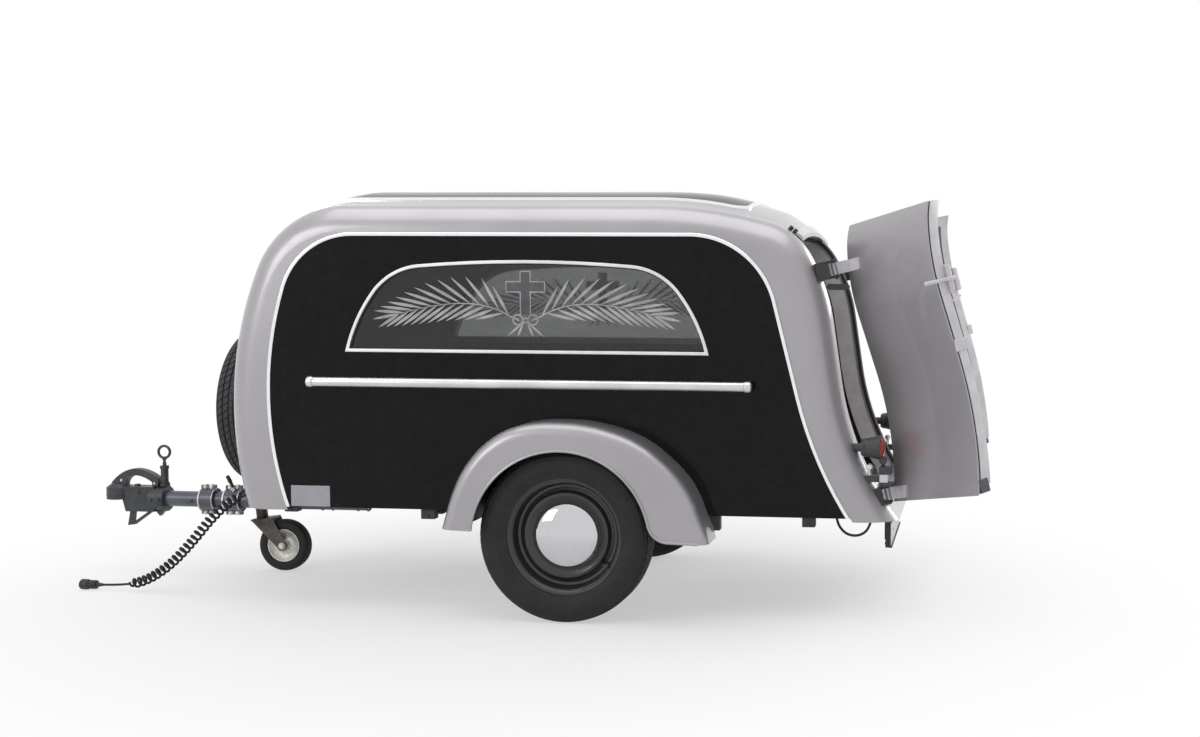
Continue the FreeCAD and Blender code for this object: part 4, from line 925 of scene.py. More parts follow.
def lay_cord(curve, diameter, node, start, **facts):
    """A real cord along a curve, in place of its solid."""
    thicken(curve, diameter)
    curve.materials.append(FINISHES["cord"])
    made = link_new(curve.name, curve)
    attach(made, BODY)
    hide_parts(node)


# Shares of each cord's run: along and up, or along and down, and how far the lead sways
LEAD_START = (-1216.0, -345.0, 372.0)
LEAD_RUN = 584.0
LEAD_RISE = 351.5
LEAD_SWAY = 200.0
LEAD_SHARES = ((0.0, 1.0, 0.0), (0.13, 0.943, 0.0), (0.267, 0.75, 0.02), (0.404, 0.471, 0.05),
               (0.555, 0.215, 0.06), (0.726, 0.044, 0.04), (0.897, 0.0, 0.0), (1.0, 0.0, 0.0))
LEAD_LENGTH = 2.64
COIL_START = 0.06
COIL_END = 0.86
CABLE_START = (888.007, -478.0, 399.7)
CABLE_RUN = 124.0
CABLE_DROP = 112.0
CABLE_SHARES = ((0.0, 0.0), (0.016, 0.533), (0.218, 0.89), (0.484, 1.0), (0.742, 0.944),
                (0.927, 0.73), (1.0, 0.381))
CABLE_LENGTH = 0.24
CABLE_DIAMETER = 0.009


class HEARSE_OT_lead(bpy.types.Operator):
    """Make the curly lead with its plug, and the lamp cable"""

    bl_idname = "hearse.lead"
    bl_label = "Lead and cable"

    def execute(self, context):
        settings = context.scene.hearse_lead
        x, y, z = LEAD_START
        points = [at(x - LEAD_RUN * along, y - LEAD_SWAY * side, z - LEAD_RISE * (1 - up))
                  for along, up, side in LEAD_SHARES]
        places = route_points(smooth_route("lead route", points))
        plug = self.make_plug(points[-1])
        lay_cord(self.coil(settings, places), settings.diameter, "lead_coil", points[0],
                 length=LEAD_LENGTH, far_end="plug", lay="loose", with_pieces=[plug])
        self.make_gland(places)
        x, y, z = CABLE_START
        points = [at(x + CABLE_RUN * along, y, z - CABLE_DROP * down)
                  for along, down in CABLE_SHARES]
        lay_cord(smooth_route("lamp_cable_line", points), CABLE_DIAMETER, "lamp_cable",
                 points[0], length=CABLE_LENGTH, far_end="object", lay="hanging")
        return {"FINISHED"}

    def coil(self, settings, places):
        """Turns round the route, drawn in to a straight stretch at each end."""
        controls = [along_route(places, share)[0] for share in (0.0, 0.03)]
        side = Vector((0, 1, 0))
        count = settings.turns * 14
        for index in range(count + 1):
            part = index / count
            centre, direction = along_route(places, COIL_START + (COIL_END - COIL_START) * part)
            up = direction.cross(side).normalized()
            angle = FULL_TURN * settings.turns * part
            reach = settings.coil_radius * min(1.0, part * 16, (1 - part) * 22)
            controls.append(centre + (side * math.cos(angle) + up * math.sin(angle)) * reach)
        controls += [along_route(places, share)[0] for share in (0.90, 0.95, 1.0)]
        curve = smooth_route("curly_lead", controls)
        curve.resolution_u = 3
        return curve

    def make_plug(self, end):
        """A moulded plug with a ribbed grip, a cap and a tapered neck."""
        bm = bmesh.new()
        profile = [(0, 0), (4.4, 0), (5.2, 1), (7.5, 16), (9.5, 24)]
        reach = 24.0
        for rib in range(7):
            profile += [(15.5, reach + 1), (16.2, reach + 3), (14.6, reach + 4)]
            reach += 4.2
        profile += [(18.2, reach + 3), (18.8, reach + 8), (18.6, 80), (17.0, 84), (15.2, 86),
                    (14.6, 82), (13.8, 82), (13.2, 70), (0, 70)]
        turned(bm, profile, 40, placed(end, QUARTER_TURN), closed=False)
        for index in range(7):
            angle = FULL_TURN * index / 7
            base = end + Vector((-70, 8.5 * math.cos(angle), 8.5 * math.sin(angle))) * MM
            rod(bm, base, base + Vector((-9, 0, 0)) * MM, 1.6, 10)
        rod(bm, end + Vector((-68, 0, 17)) * MM, end + Vector((-82, 0, 17)) * MM, 2.6, 12)
        return add_piece(bm, "lead_plug_body", "plastic", ["lead_plug"])

    def make_gland(self, places):
        """A tapered strain relief where the lead leaves the coach."""
        start, direction = along_route(places, 0.0)
        turn = Vector((0, 1, 0)).rotation_difference(direction).to_matrix().to_4x4()
        bm = bmesh.new()
        profile = [(0, -6), (13.5, -6), (13.5, 0)]
        reach = 0.0
        for rib in range(6):
            radius = 11.0 - rib * 0.9
            profile += [(radius, reach), (radius, reach + 2.6), (radius - 2.2, reach + 3.2),
                        (radius - 2.2, reach + 4.6)]
            reach += 4.8
        profile += [(5.0, reach + 2), (4.5, reach + 6), (0, reach + 6)]
        turned(bm, profile, 28, Matrix.Translation(start) @ turn, closed=False)
        add_piece(bm, "lead_relief", "plastic")


# Coachwork


class HEARSE_OT_coach(bpy.types.Operator):
    """Make the silver skin, the black panels, the bright beads, the drip rail and the lining"""

    bl_idname = "hearse.coach"
    bl_label = "Coachwork"

    def execute(self, context):
        settings = context.scene.hearse_coach
        self.make_skin()
        self.make_bead(settings)
        self.make_side_panels()
        self.make_roof_panel()
        self.make_drip_rail()
        self.make_lining()
        return {"FINISHED"}

    def make_skin(self):
        skin = rounded_body(0.0, "coach_skin", BODY_BOTTOM)
        hollow = rounded_body(WALL, "hollow", BODY_BOTTOM - 60)
        panel = to_object(trim_prism(0.0, BODY_HALF_WIDTH + 20, BODY_HALF_WIDTH - WALL - 20),
                          "panel cut")
        doorway = hinge_box(-(DOOR_BELOW + DOOR_GAP), DOOR_ABOVE + DOOR_GAP, -400, 400, 0,
                            2 * DOOR_HINGE_Y, "doorway")
        carve(skin, [hollow, panel, copy_to_right(panel, "panel cut"), doorway])
        finish_piece(skin, "silver", ["front_shell", "roof_shell", "rear_shell"])

    def make_bead(self, settings):
        """A half-round bright bead along the joint of silver and black."""
        bm = trim_prism(0.0, BODY_HALF_WIDTH + 1, BODY_HALF_WIDTH)
        others = [face for face in bm.faces if face.normal.y >= -0.9]
        bmesh.ops.delete(bm, geom=others, context="FACES")
        ring = bmesh.ops.inset_region(bm, faces=bm.faces[:], thickness=settings.bead_width,
                                      use_boundary=True, use_even_offset=True)["faces"]
        middle = [face for face in bm.faces if face not in ring]
        bmesh.ops.delete(bm, geom=middle, context="FACES")
        made = bmesh.ops.extrude_face_region(bm, geom=bm.faces[:])["geom"]
        bmesh.ops.translate(bm, vec=(0, -settings.bead_height + 0.001, 0),
                            verts=only_verts(made))
        bmesh.ops.recalc_face_normals(bm, faces=bm.faces[:])
        soften(bm, [edge for edge in front_rims(bm) if edge.calc_length() < 1.2], 0.0035)
        cut_below(bm, SKIRT_BOTTOM, bmesh.ops.holes_fill)
        mirror_bm(bm)
        add_piece(bm, "side_bead", "bright trim", ["side_trim"])

    def make_side_panels(self):
        """Black panels under the bead, with the window and the wheel's recess cut out."""
        bm = trim_prism(0.3, BODY_HALF_WIDTH, BODY_HALF_WIDTH - WALL)
        cut_below(bm, SKIRT_BOTTOM)
        panel = to_object(bm, "panel_left_face")
        recess = bmesh.new()
        rod(recess, at(0, -560, WHEEL_RADIUS), at(0, -499, WHEEL_RADIUS), 318.0, 128)
        window = window_block(0.0, BODY_HALF_WIDTH + 20, BODY_HALF_WIDTH - WALL - 20)
        carve(panel, [window, to_object(recess, "recess")])
        finish_pair(panel, "panel_right_face", "black", ["side_panel_"])

    def plan_block(self, grow):
        """The roof panel's plan, with rounded corners, as a tall block."""
        bm = bmesh.new()
        block(bm, (1600 + 2 * grow, 660 + 2 * grow, 600), Matrix.Identity(4))
        corners = [edge for edge in bm.edges
                   if abs(edge.verts[0].co.z - edge.verts[1].co.z) > 0.1]
        soften(bm, corners, (60 + grow) * MM, 12)
        bmesh.ops.translate(bm, vec=at(-240, 0, 1450), verts=bm.verts[:])
        return to_object(bm, "plan block")

    def roof_layer(self, name, moved, zone, more_cutters=()):
        """A sheet on the crown, within a zone: the body's top, moved, less the body."""
        layer = rounded_body(0.0, name, 1190.0)
        layer.data.transform(Matrix.Translation(moved))
        carve(layer, [zone], "INTERSECT")
        return carve(layer, [rounded_body(0.0, "core", 1150.0), *more_cutters])

    def make_roof_panel(self):
        panel = self.roof_layer("roof_panel_skin", (0, 0, 0.004), self.plan_block(0.0))
        finish_piece(panel, "roof black", ["roof_panel"])
        edge = self.roof_layer("roof_bead", (0, 0, 0.007), self.plan_block(14.0),
                               [self.plan_block(0.0)])
        finish_piece(edge, "bright trim", ["roof_trim"])

    def make_drip_rail(self):
        """A pale strip across the roof above the doorway."""
        zone = bmesh.new()
        slab(zone, 744, 766, -404, 404, 1200, 1420)
        rail = self.roof_layer("door_drip_rail", (0.006, 0, 0.007), to_object(zone, "zone"))
        finish_piece(rail, "strip")

    def make_lining(self):
        """Dark lining inside the coach, just off the skin."""
        lining = rounded_body(WALL + 1, "coach_lining", 420.0)
        hollow = rounded_body(WALL + 4, "hollow", 400.0)
        window = window_block(-4.0, 640.0, -640.0)
        doorway = hinge_box(-(DOOR_BELOW + 40), DOOR_ABOVE + 60, -500, 400, -60,
                            2 * DOOR_HINGE_Y + 60, "doorway")
        carve(lining, [hollow, window, doorway])
        finish_piece(lining, "lining")


# Windows


def window_block(shrink, outer_y, inner_y):
    """The window's outline across the coach: a flat top, full shoulders and a straight sill."""
    start = at(WINDOW_CENTRE, -outer_y, WINDOW_SILL + WINDOW_HEIGHT - shrink)
    half = [(4400.0 - shrink, 4.8, 1), (230.0 - shrink, 48.4, 1), (558.0 - shrink, 30.0, 1)]
    bm = outline_prism(half, half, start, (outer_y - inner_y) / 2)
    cut_below(bm, WINDOW_SILL + shrink)
    return to_object(bm, "window block")


def in_window(x, height):
    """Whether a place on the glass, from its middle and above the sill, is inside the frame."""
    return height > 22 and abs(x / 600) ** 2.6 + abs(height / 300) ** 2.2 < 1


FROND_LEAVES = 12


class HEARSE_OT_windows(bpy.types.Operator):
    """Make the pale window frames, the glass, and the palms and cross etched on it"""

    bl_idname = "hearse.windows"
    bl_label = "Windows"

    def execute(self, context):
        self.make_frames()
        self.make_inner_frames()
        self.make_etching()
        return {"FINISHED"}

    def both_sides(self, piece, name, rounding=0.0):
        """Round a left piece's front edges over if asked, and add the right one to it."""
        bm = opened(piece.data)
        if rounding > 0:
            soften(bm, front_rims(bm), rounding)
        mirror_bm(bm)
        store(bm, piece.data)
        piece.name = name
        return piece

    def make_frames(self):
        """A pale frame with a raised, rounded face, a dark glazing seal and the glass."""
        frames = window_block(0.0, BODY_HALF_WIDTH + 5, BODY_HALF_WIDTH - WALL)
        carve(frames, [window_block(12.0, BODY_HALF_WIDTH + 30, BODY_HALF_WIDTH - 60)])
        finish_piece(self.both_sides(frames, "window_frame_mouldings", 0.003), "window frame",
                     ["window_frames"])
        seal = window_block(12.0, GLASS_OUTER_Y + 4, GLASS_OUTER_Y + 0.2)
        carve(seal, [window_block(15.0, GLASS_OUTER_Y + 20, GLASS_OUTER_Y - 20)])
        finish_piece(self.both_sides(seal, "glazing_seal"), "seal",
                     even_normals=False)
        glass = window_block(12.0, GLASS_OUTER_Y, GLASS_OUTER_Y - 5)
        finish_piece(self.both_sides(glass, "window_panes"), "glass",
                     ["window_glass"], even_normals=False)

    def make_inner_frames(self):
        """The pale frames on the lining, which show through the far window."""
        lining_y = BODY_HALF_WIDTH - WALL - 4
        left = window_block(-8.0, lining_y, lining_y - 9)
        carve(left, [window_block(13.0, lining_y + 20, lining_y - 30)])
        left.name = "inner_frame_left"
        finish_pair(left, "inner_frame_right", "window frame",
                    even_normals=False)

    def make_etching(self):
        fill = bmesh.new()
        lines = bmesh.new()
        self.add_cross(fill, lines)
        for way in (1, -1):
            self.add_frond(lines, way)
        self.add_bow(lines)
        for bm, name, finish in ((fill, "window_cross", "etched cross"),
                                 (lines, "window_etching", "etching")):
            bmesh.ops.translate(bm, vec=at(WINDOW_CENTRE, -GLASS_OUTER_Y - 0.15, 0),
                                verts=bm.verts[:])
            for face in bm.faces:
                face.normal_update()
                if face.normal.y > 0:
                    face.normal_flip()
            mirror_bm(bm)
            finish_piece(to_object(bm, name, turn_out=False), finish,
                         even_normals=False)

    def flat_bar(self, bm, middle, length, width, lean=0.0):
        """A flat strip on the glass, about its middle and leaning by an angle."""
        made = bmesh.ops.create_grid(bm, x_segments=1, y_segments=1, size=0.5)["verts"]
        bmesh.ops.scale(bm, vec=(length * MM, width * MM, 1), verts=made)
        turn = placed(Vector(middle) * MM, QUARTER_TURN, "X") @ Matrix.Rotation(lean, 4, "Z")
        bmesh.ops.transform(bm, matrix=turn, verts=made)

    def bar(self, bm, way, x0, x1, z0, z1):
        """A level strip between two corners, on one side of the middle."""
        self.flat_bar(bm, (way * (x0 + x1) / 2, 0, (z0 + z1) / 2), x1 - x0, z1 - z0)

    def add_cross(self, fill, lines):
        """A plain Latin cross, grey inside a pale outline."""
        half, arm, low, high, middle, line = 15.5, 65.0, 1018.0, 1163.0, 1113.0, 3.5
        self.bar(fill, 1, -half, half, low, high)
        for way in (-1, 1):
            self.bar(fill, way, half, arm, middle - half, middle + half)
            for corners in ((half, half + line, low, middle - half - line),
                            (half, half + line, middle + half + line, high),
                            (arm, arm + line, middle - half, middle + half),
                            (half, arm + line, middle + half, middle + half + line),
                            (half, arm + line, middle - half - line, middle - half),
                            (0, half + line, high, high + line)):
                self.bar(lines, way, *corners)

    def leaf(self, bm, root, angle, length, width):
        """One slender leaflet, pointed at both ends."""
        made = bmesh.ops.create_circle(bm, cap_ends=True, segments=18, radius=0.5)["verts"]
        for vert in made:
            taper = math.sqrt(max(0.0, 1 - (2 * vert.co.x) ** 2))
            vert.co.y *= taper * width * MM
            vert.co.x = (vert.co.x + 0.5) * length * MM
        turn = placed(root, QUARTER_TURN, "X") @ Matrix.Rotation(angle, 4, "Z")
        bmesh.ops.transform(bm, matrix=turn, verts=made)

    def fitted_length(self, root, angle, length):
        """A leaflet's length, shortened until its tip lies inside the window's frame."""
        for attempt in range(20):
            x = root.x / MM + length * math.cos(angle)
            if in_window(x, root.z / MM + length * math.sin(angle) - WINDOW_SILL):
                break
            length *= 0.9
        return length

    def add_frond(self, bm, way):
        """A palm frond that rises from the knot and droops to its tip."""
        previous = Vector((way * 22, 0, 1000)) * MM
        for index in range(1, 2 * FROND_LEAVES + 1):
            part = index / (2 * FROND_LEAVES)
            height = 998 + 58 * math.sin(math.pi * 0.88 * part ** 0.7)
            root = Vector((way * (40 + 400 * part), 0, height)) * MM
            run = root - previous
            rise = math.atan2(run.z, abs(run.x))
            swell = math.sin(math.pi * (0.15 + 0.75 * part))
            if index % 2:
                leaves = ((38 - 22 * part, 84 + 60 * swell),)
            else:
                leaves = ((-(46 - 28 * part), (84 + 60 * swell) * 0.86),)
            for spread, length in leaves + ((3.0, 96.0),) * (part == 1.0):
                lean = rise + math.radians(spread)
                angle = lean if way > 0 else math.pi - lean
                self.leaf(bm, root, angle, self.fitted_length(root, angle, length), 10.5)
            self.flat_bar(bm, (root + previous) / 2 / MM, run.length / MM, 4.5 - 2.5 * part,
                          math.atan2(run.z, run.x))
            previous = root

    def add_bow(self, bm):
        """The knot under the cross: two loops and two tails."""
        for x, z, radius in ((-26, 1002, 19), (26, 1002, 19), (0, 1000, 10)):
            verts = []
            for reach in (radius, radius - 4):
                verts += bmesh.ops.create_circle(bm, cap_ends=False, segments=28,
                                                 radius=reach * MM)["verts"]
            edges = list({edge for vert in verts for edge in vert.link_edges})
            bmesh.ops.bridge_loops(bm, edges=edges)
            bmesh.ops.transform(bm, matrix=placed(Vector((x, 0, z)) * MM, QUARTER_TURN, "X"),
                                verts=verts)
        for way in (1, -1):
            for lean, length in ((50, 78), (24, 56)):
                self.leaf(bm, Vector((way * 6, 0, 994)) * MM, math.radians(-90 + way * lean),
                          length, 7)


# Doors


class HEARSE_OT_doors(bpy.types.Operator):
    """Make the door skins, cores, linings and seals, the locks and the lever"""

    bl_idname = "hearse.doors"
    bl_label = "Doors"

    def execute(self, context):
        thick = DOOR_THICKNESS
        for name, finish, nodes, layer in (
                ("door_skin_", "silver", ["door_leaf_"], (0.0, 7.0)),
                ("door_seal_", "seal", [], (7.0, 14.0, 2.0, 4.0)),
                ("door_core_", "strip", [], (14.0, thick, 0.0, 24.0)),
                ("door_lining_", "lining", [], (thick - 1.0, thick + 3.0, 38.0))):
            left = swing_open(self.leaf_layer(name + "left", *layer))
            finish_pair(left, name + "right", finish, nodes, "door_")
        self.make_furniture()
        self.make_frame_parts()
        return {"FINISHED"}

    def leaf_layer(self, name, outer, inner, shrink=0.0, raised=0.0):
        """Part of the door's thickness, still shut, on the left side."""
        layer = to_object(body_prism(outer, DOOR_HINGE_Y - 0.2), name)
        zone = hinge_box(-DOOR_BELOW + shrink + raised, DOOR_ABOVE - shrink, -330, 400,
                         DOOR_GAP + shrink, DOOR_HINGE_Y, "zone")
        carve(layer, [zone], "INTERSECT")
        sweep = bmesh.new()
        rod(sweep, at_hinge(-900, 0, 0), at_hinge(900, 0, 0), DOOR_HINGE_Y - 5 - shrink, 192)
        carve(layer, [to_object(sweep, "sweep")], "INTERSECT")
        return carve(layer, [to_object(body_prism(inner, BODY_HALF_WIDTH), "inside")])

    def leaning_block(self, bm, middle, size, round_off):
        block(bm, size, placed(at_hinge(*middle), -DOOR_TILT, "Y"), round_off)

    def outline_reach(self, along):
        """How far outward of the hinge line the skin lies at a height along it."""
        place = self.probe.ray_cast(at_hinge(along, 600, 300), -DOOR_OUTWARD)[1]
        return (place - HINGE_MARK).dot(DOOR_OUTWARD) / MM

    def make_furniture(self):
        """Lever and lock case, keeper, screws and end cap on the doors' free edges."""
        self.probe = to_object(body_prism(0.0, BODY_HALF_WIDTH), "probe")
        bpy.context.view_layer.update()
        edge_y = DOOR_HINGE_Y - 5
        lock_at, keeper_at, cap_at = 268.0, 57.0, -392.0
        for side in ("left", "right"):
            metal = bmesh.new()
            dark = bmesh.new()
            out = self.outline_reach(lock_at)
            if side == "left":
                rod(metal, at_hinge(lock_at, out + 42, edge_y - 3),
                    at_hinge(lock_at, out - 94, edge_y - 3), 6.5, 24, round_off=3)
            self.leaning_block(metal, (lock_at, out - 70, edge_y - 18), (28, 32, 94), 10.0)
            for along, inward in ((341.0, 44.0), (199.0, 52.0)):
                out = self.outline_reach(along) - inward
                rod(metal, at_hinge(along, out, edge_y - 2), at_hinge(along, out, edge_y + 1.6),
                    4.5, 20, round_off=0.8)
            out = self.outline_reach(keeper_at)
            self.leaning_block(metal, (keeper_at, out - 33, edge_y - 12), (60, 29, 40), 5.0)
            out = self.outline_reach(cap_at)
            self.leaning_block(dark, (cap_at, out - 30, edge_y - 13), (42, 29, 44), 4.0)
            for bm, name, finish, slot in ((metal, "door_metal_", "strip", "hinge_metal"),
                                           (dark, "door_caps_", "drawbar", "bracket_dark")):
                piece = swing_open(to_object(bm, name + side))
                if side == "right":
                    turn_over(piece)
                finish_piece(piece, finish, body="door_" + side)
        bpy.data.objects.remove(self.probe)

    def make_frame_parts(self):
        """Rubber seal round the doorway and the black latches above it."""
        seal = to_object(body_prism(6.0, DOOR_HINGE_Y - 0.5), "doorway_seal")
        zone = hinge_box(-(DOOR_BELOW + DOOR_GAP) + 0.3, DOOR_ABOVE + DOOR_GAP - 0.3, -330, 400,
                         0.5, 2 * DOOR_HINGE_Y - 0.5, "zone")
        carve(seal, [zone], "INTERSECT")
        hole = hinge_box(-(DOOR_BELOW + 4), DOOR_ABOVE + 4, -600, 600, 6,
                         2 * DOOR_HINGE_Y - 6, "hole")
        carve(seal, [hole, to_object(body_prism(17.0, BODY_HALF_WIDTH), "inner")])
        finish_piece(seal, "seal", even_normals=False)
        bm = bmesh.new()
        for x, z in ((718.0, 1308.0), (733.0, 1298.0)):
            rod(bm, at(x, -396, z), at(x + 12, -396, z + 13), 7.5, 20, round_off=3)
        mirror_bm(bm)
        add_piece(bm, "roof_latches", "plastic")


# Wheels and mudguards


TYRE_SHAPE = ((194, -56), (197, -56), (206, -61), (218, -65), (222, -66.5), (222.6, -67.6),
              (226, -68.2), (238, -69), (250, -68.6), (262, -66.8), (267, -64.6),
              (269.5, -64.9), (271, -63.4), (277, -60.5), (281.5, -56.5))
RIM_SHAPE = ((201, -55.5), (203, -52), (202.4, -49.5), (194, -49), (188, -45), (180, -38),
             (176, -30), (173, -14), (169, -6), (161, -4), (152, -8), (146, -16), (142, -20),
             (134, -21), (127, -17), (121, -13), (112, -11.5), (0, -11.5), (0, -6), (112, -6),
             (130, -13), (142, -14), (160, 2), (172, 2), (175, 8), (178, 20), (186, 40),
             (196, 52), (201, 55.5), (203, 52), (202.4, 50), (199, 49), (193, 44), (187, 30),
             (183, 10), (181, -20), (186, -40), (196, -50), (199, -54))
JOCKEY_TYRE_SHAPE = ((62, -19), (66, -20.5), (70, -23.5), (78, -25), (88, -24.4), (95, -21.5),
                     (98.6, -16), (99.8, -9), (100, -6), (98.8, -5), (98.8, -3), (100, -2))
JOCKEY_RIM_SHAPE = ((0, -27), (10, -27), (12, -26), (20, -26), (22, -22), (24, -12), (30, -9),
                    (40, -9), (47, -12), (54, -16), (60, -21), (63.5, -21.5), (64, -18))
TREAD_RIBS = ((-51, -34), (-29, -12), (-7, 7), (12, 29), (34, 51))
JOCKEY_WHEEL = (-1322.09, JOCKEY_Y, 100.0)
SPARE_WHEEL = (-1332.0, 0.0, 655.0)


class HEARSE_OT_wheels(bpy.types.Operator):
    """Make the road wheels, the spare wheel and the jockey wheel"""

    bl_idname = "hearse.wheels"
    bl_label = "Wheels"

    def execute(self, context):
        settings = context.scene.hearse_wheels
        for side, way, turn in (("left", -1, 0.0), ("right", 1, math.pi)):
            place = placed(at(0, way * WHEEL_PLANE, WHEEL_RADIUS), turn)
            body = "wheel_" + side
            self.make_tyre("road_tyre_" + side, place, settings, body, "tyre_" + side, "tyre")
            self.make_rim("road_rim_" + side, place, body, "rim_" + side)
            self.make_hubcap("dome_" + side, place, body, "hubcap_" + side)
        spare = placed(at(*SPARE_WHEEL), -QUARTER_TURN)
        self.make_tyre("spare_tyre_tread", spare, settings, BODY, "spare_tyre", "spare tyre")
        self.make_rim("spare_rim_disc", spare, BODY, "spare_rim")
        self.make_spare_nut(spare)
        self.make_jockey_wheel()
        return {"FINISHED"}

    def make_tyre(self, name, place, settings, body, node, finish):
        bm = bmesh.new()
        turned(bm, half_mirrored(TYRE_SHAPE), 144)
        self.add_tread(bm, settings)
        bmesh.ops.transform(bm, matrix=place, verts=bm.verts[:])
        add_piece(bm, name, finish, [node], body, even_normals=False)

    def add_tread(self, bm, settings):
        """Ribs and slanted blocks that stand on the carcass, one pitch after another."""
        pitch = FULL_TURN / settings.pitches
        low = WHEEL_RADIUS - settings.groove_depth / MM - 1.5
        for index in range(settings.pitches):
            for rib, ends in enumerate(TREAD_RIBS):
                slant = 0.25 * pitch * (1 if rib < 2 else -1 if rib > 2 else 0)
                lugs = []
                for reach, turn in zip(ends, (-slant, slant)):
                    drop = 2.4 if abs(reach) > 45 else 0.0
                    lugs.append((reach, low, WHEEL_RADIUS - 0.4 - drop, turn))
                self.add_lug(bm, pitch * (index + 0.5 * (rib % 2)),
                             pitch * (0.90 if rib == 2 else 0.83), lugs)
            for way in (-1, 1):
                self.add_lug(bm, pitch * (index + 0.25), pitch * 0.72,
                             [(way * reach, WHEEL_RADIUS - low_by, WHEEL_RADIUS - top_by, 0.0)
                              for reach, low_by, top_by in ((53.5, 12.2, 5.2),
                                                            (64.0, 25.5, 18.5))])

    def add_lug(self, bm, angle, width, ends):
        """A tread block between two ends: each one's reach, low and top radius and turn."""
        for vert in bmesh.ops.create_cube(bm, size=1.0)["verts"]:
            reach, low, top, turn = ends[vert.co.x > 0]
            place = angle + width * vert.co.y + turn
            radius = top if vert.co.z > 0 else low
            vert.co = Vector((radius * math.cos(place), reach, radius * math.sin(place))) * MM

    def make_rim(self, name, place, body, node):
        """A stepped disc wheel: flange, well, two rings, hub seat and back, with its valve."""
        bm = bmesh.new()
        turned(bm, RIM_SHAPE, 120)
        turn = Matrix.Rotation(math.radians(35), 4, "Y")
        foot, neck, tip = (turn @ (Vector(mark) * MM)
                           for mark in ((155, -8, 0), (161, -32, 0), (163, -42, 0)))
        rod(bm, foot, neck, 4.6, 16, 3.6)
        rod(bm, neck, tip, 4.4, 12, round_off=0.8)
        bmesh.ops.transform(bm, matrix=place, verts=bm.verts[:])
        finish_piece(to_object(bm, name, 28, turn_out=False), "rim", [node], body,
                     even_normals=False)

    def make_hubcap(self, name, place, body, node):
        """A bright domed cap with a rolled edge."""
        profile = [(112, -9), (115.5, -10), (117, -12.5), (116.6, -15)]
        for step in range(1, 18):
            angle = math.radians(5 * step)
            profile.append((116 * math.cos(angle), -15 - 41 * math.sin(angle)))
        profile += [(0, -56), (0, -52), (60, -44), (104, -16), (110, -9)]
        bm = bmesh.new()
        turned(bm, profile, 96, place)
        add_piece(bm, name, "hubcap", [node], body, 40, False)

    def make_spare_nut(self, place):
        """A washer, a six-sided nut and the end of its stud."""
        bm = bmesh.new()
        for end, radius, segments, round_off in ((-20, 44, 48, 1.5), (-38, 15, 6, 1.5),
                                                 (-50, 8, 24, 1.0)):
            rod(bm, Vector((0, -12, 0)) * MM, Vector((0, end, 0)) * MM, radius, segments,
                round_off=round_off)
        bmesh.ops.transform(bm, matrix=place, verts=bm.verts[:])
        add_piece(bm, "spare_nut", "zinc")

    def make_jockey_wheel(self):
        place = Matrix.Translation(at(*JOCKEY_WHEEL))
        bm = bmesh.new()
        turned(bm, half_mirrored(JOCKEY_TYRE_SHAPE), 72, place)
        add_piece(bm, "jockey_tyre_ribbed", "tyre", ["jockey_tyre"],
                  "jockey_wheel", 40, False)
        bm = bmesh.new()
        turned(bm, half_mirrored(JOCKEY_RIM_SHAPE), 72, place, closed=False)
        add_piece(bm, "jockey_rim_pressed", "zinc", ["jockey_rim"],
                  "jockey_wheel", 30, False)


# How the mudguard's top line runs: shares of its radius along and up from its middle
GUARD_SHARES = ((-1.03, 0.10), (-1.0, 0.20), (-0.94, 0.40), (-0.80, 0.665), (-0.59, 0.87),
                (-0.395, 0.965), (-0.215, 1.0), (-0.02, 1.006), (0.165, 0.995), (0.405, 0.945),
                (0.645, 0.85), (0.85, 0.70), (1.01, 0.535), (1.105, 0.38), (1.165, 0.225),
                (1.215, 0.11), (1.235, 0.02))
GUARD_RADIUS = 398.0
GUARD_HEIGHT = 270.0
GUARD_OUTER_Y = 680.0
GUARD_SHOULDER = 42.0
GUARD_WALL = 5.0
GUARD_OPENING = 300.0
GUARD_OPENING_HEIGHT = 277.5
GUARD_TAIL = 90.0
LIP_DIAMETER = 0.009
FLARE_CENTRE = (362.0, 354.0)
FLARE_RADIUS = 70.0
GUARD_ENDS = ((-410.0, 312.0), (491.0, 279.0))


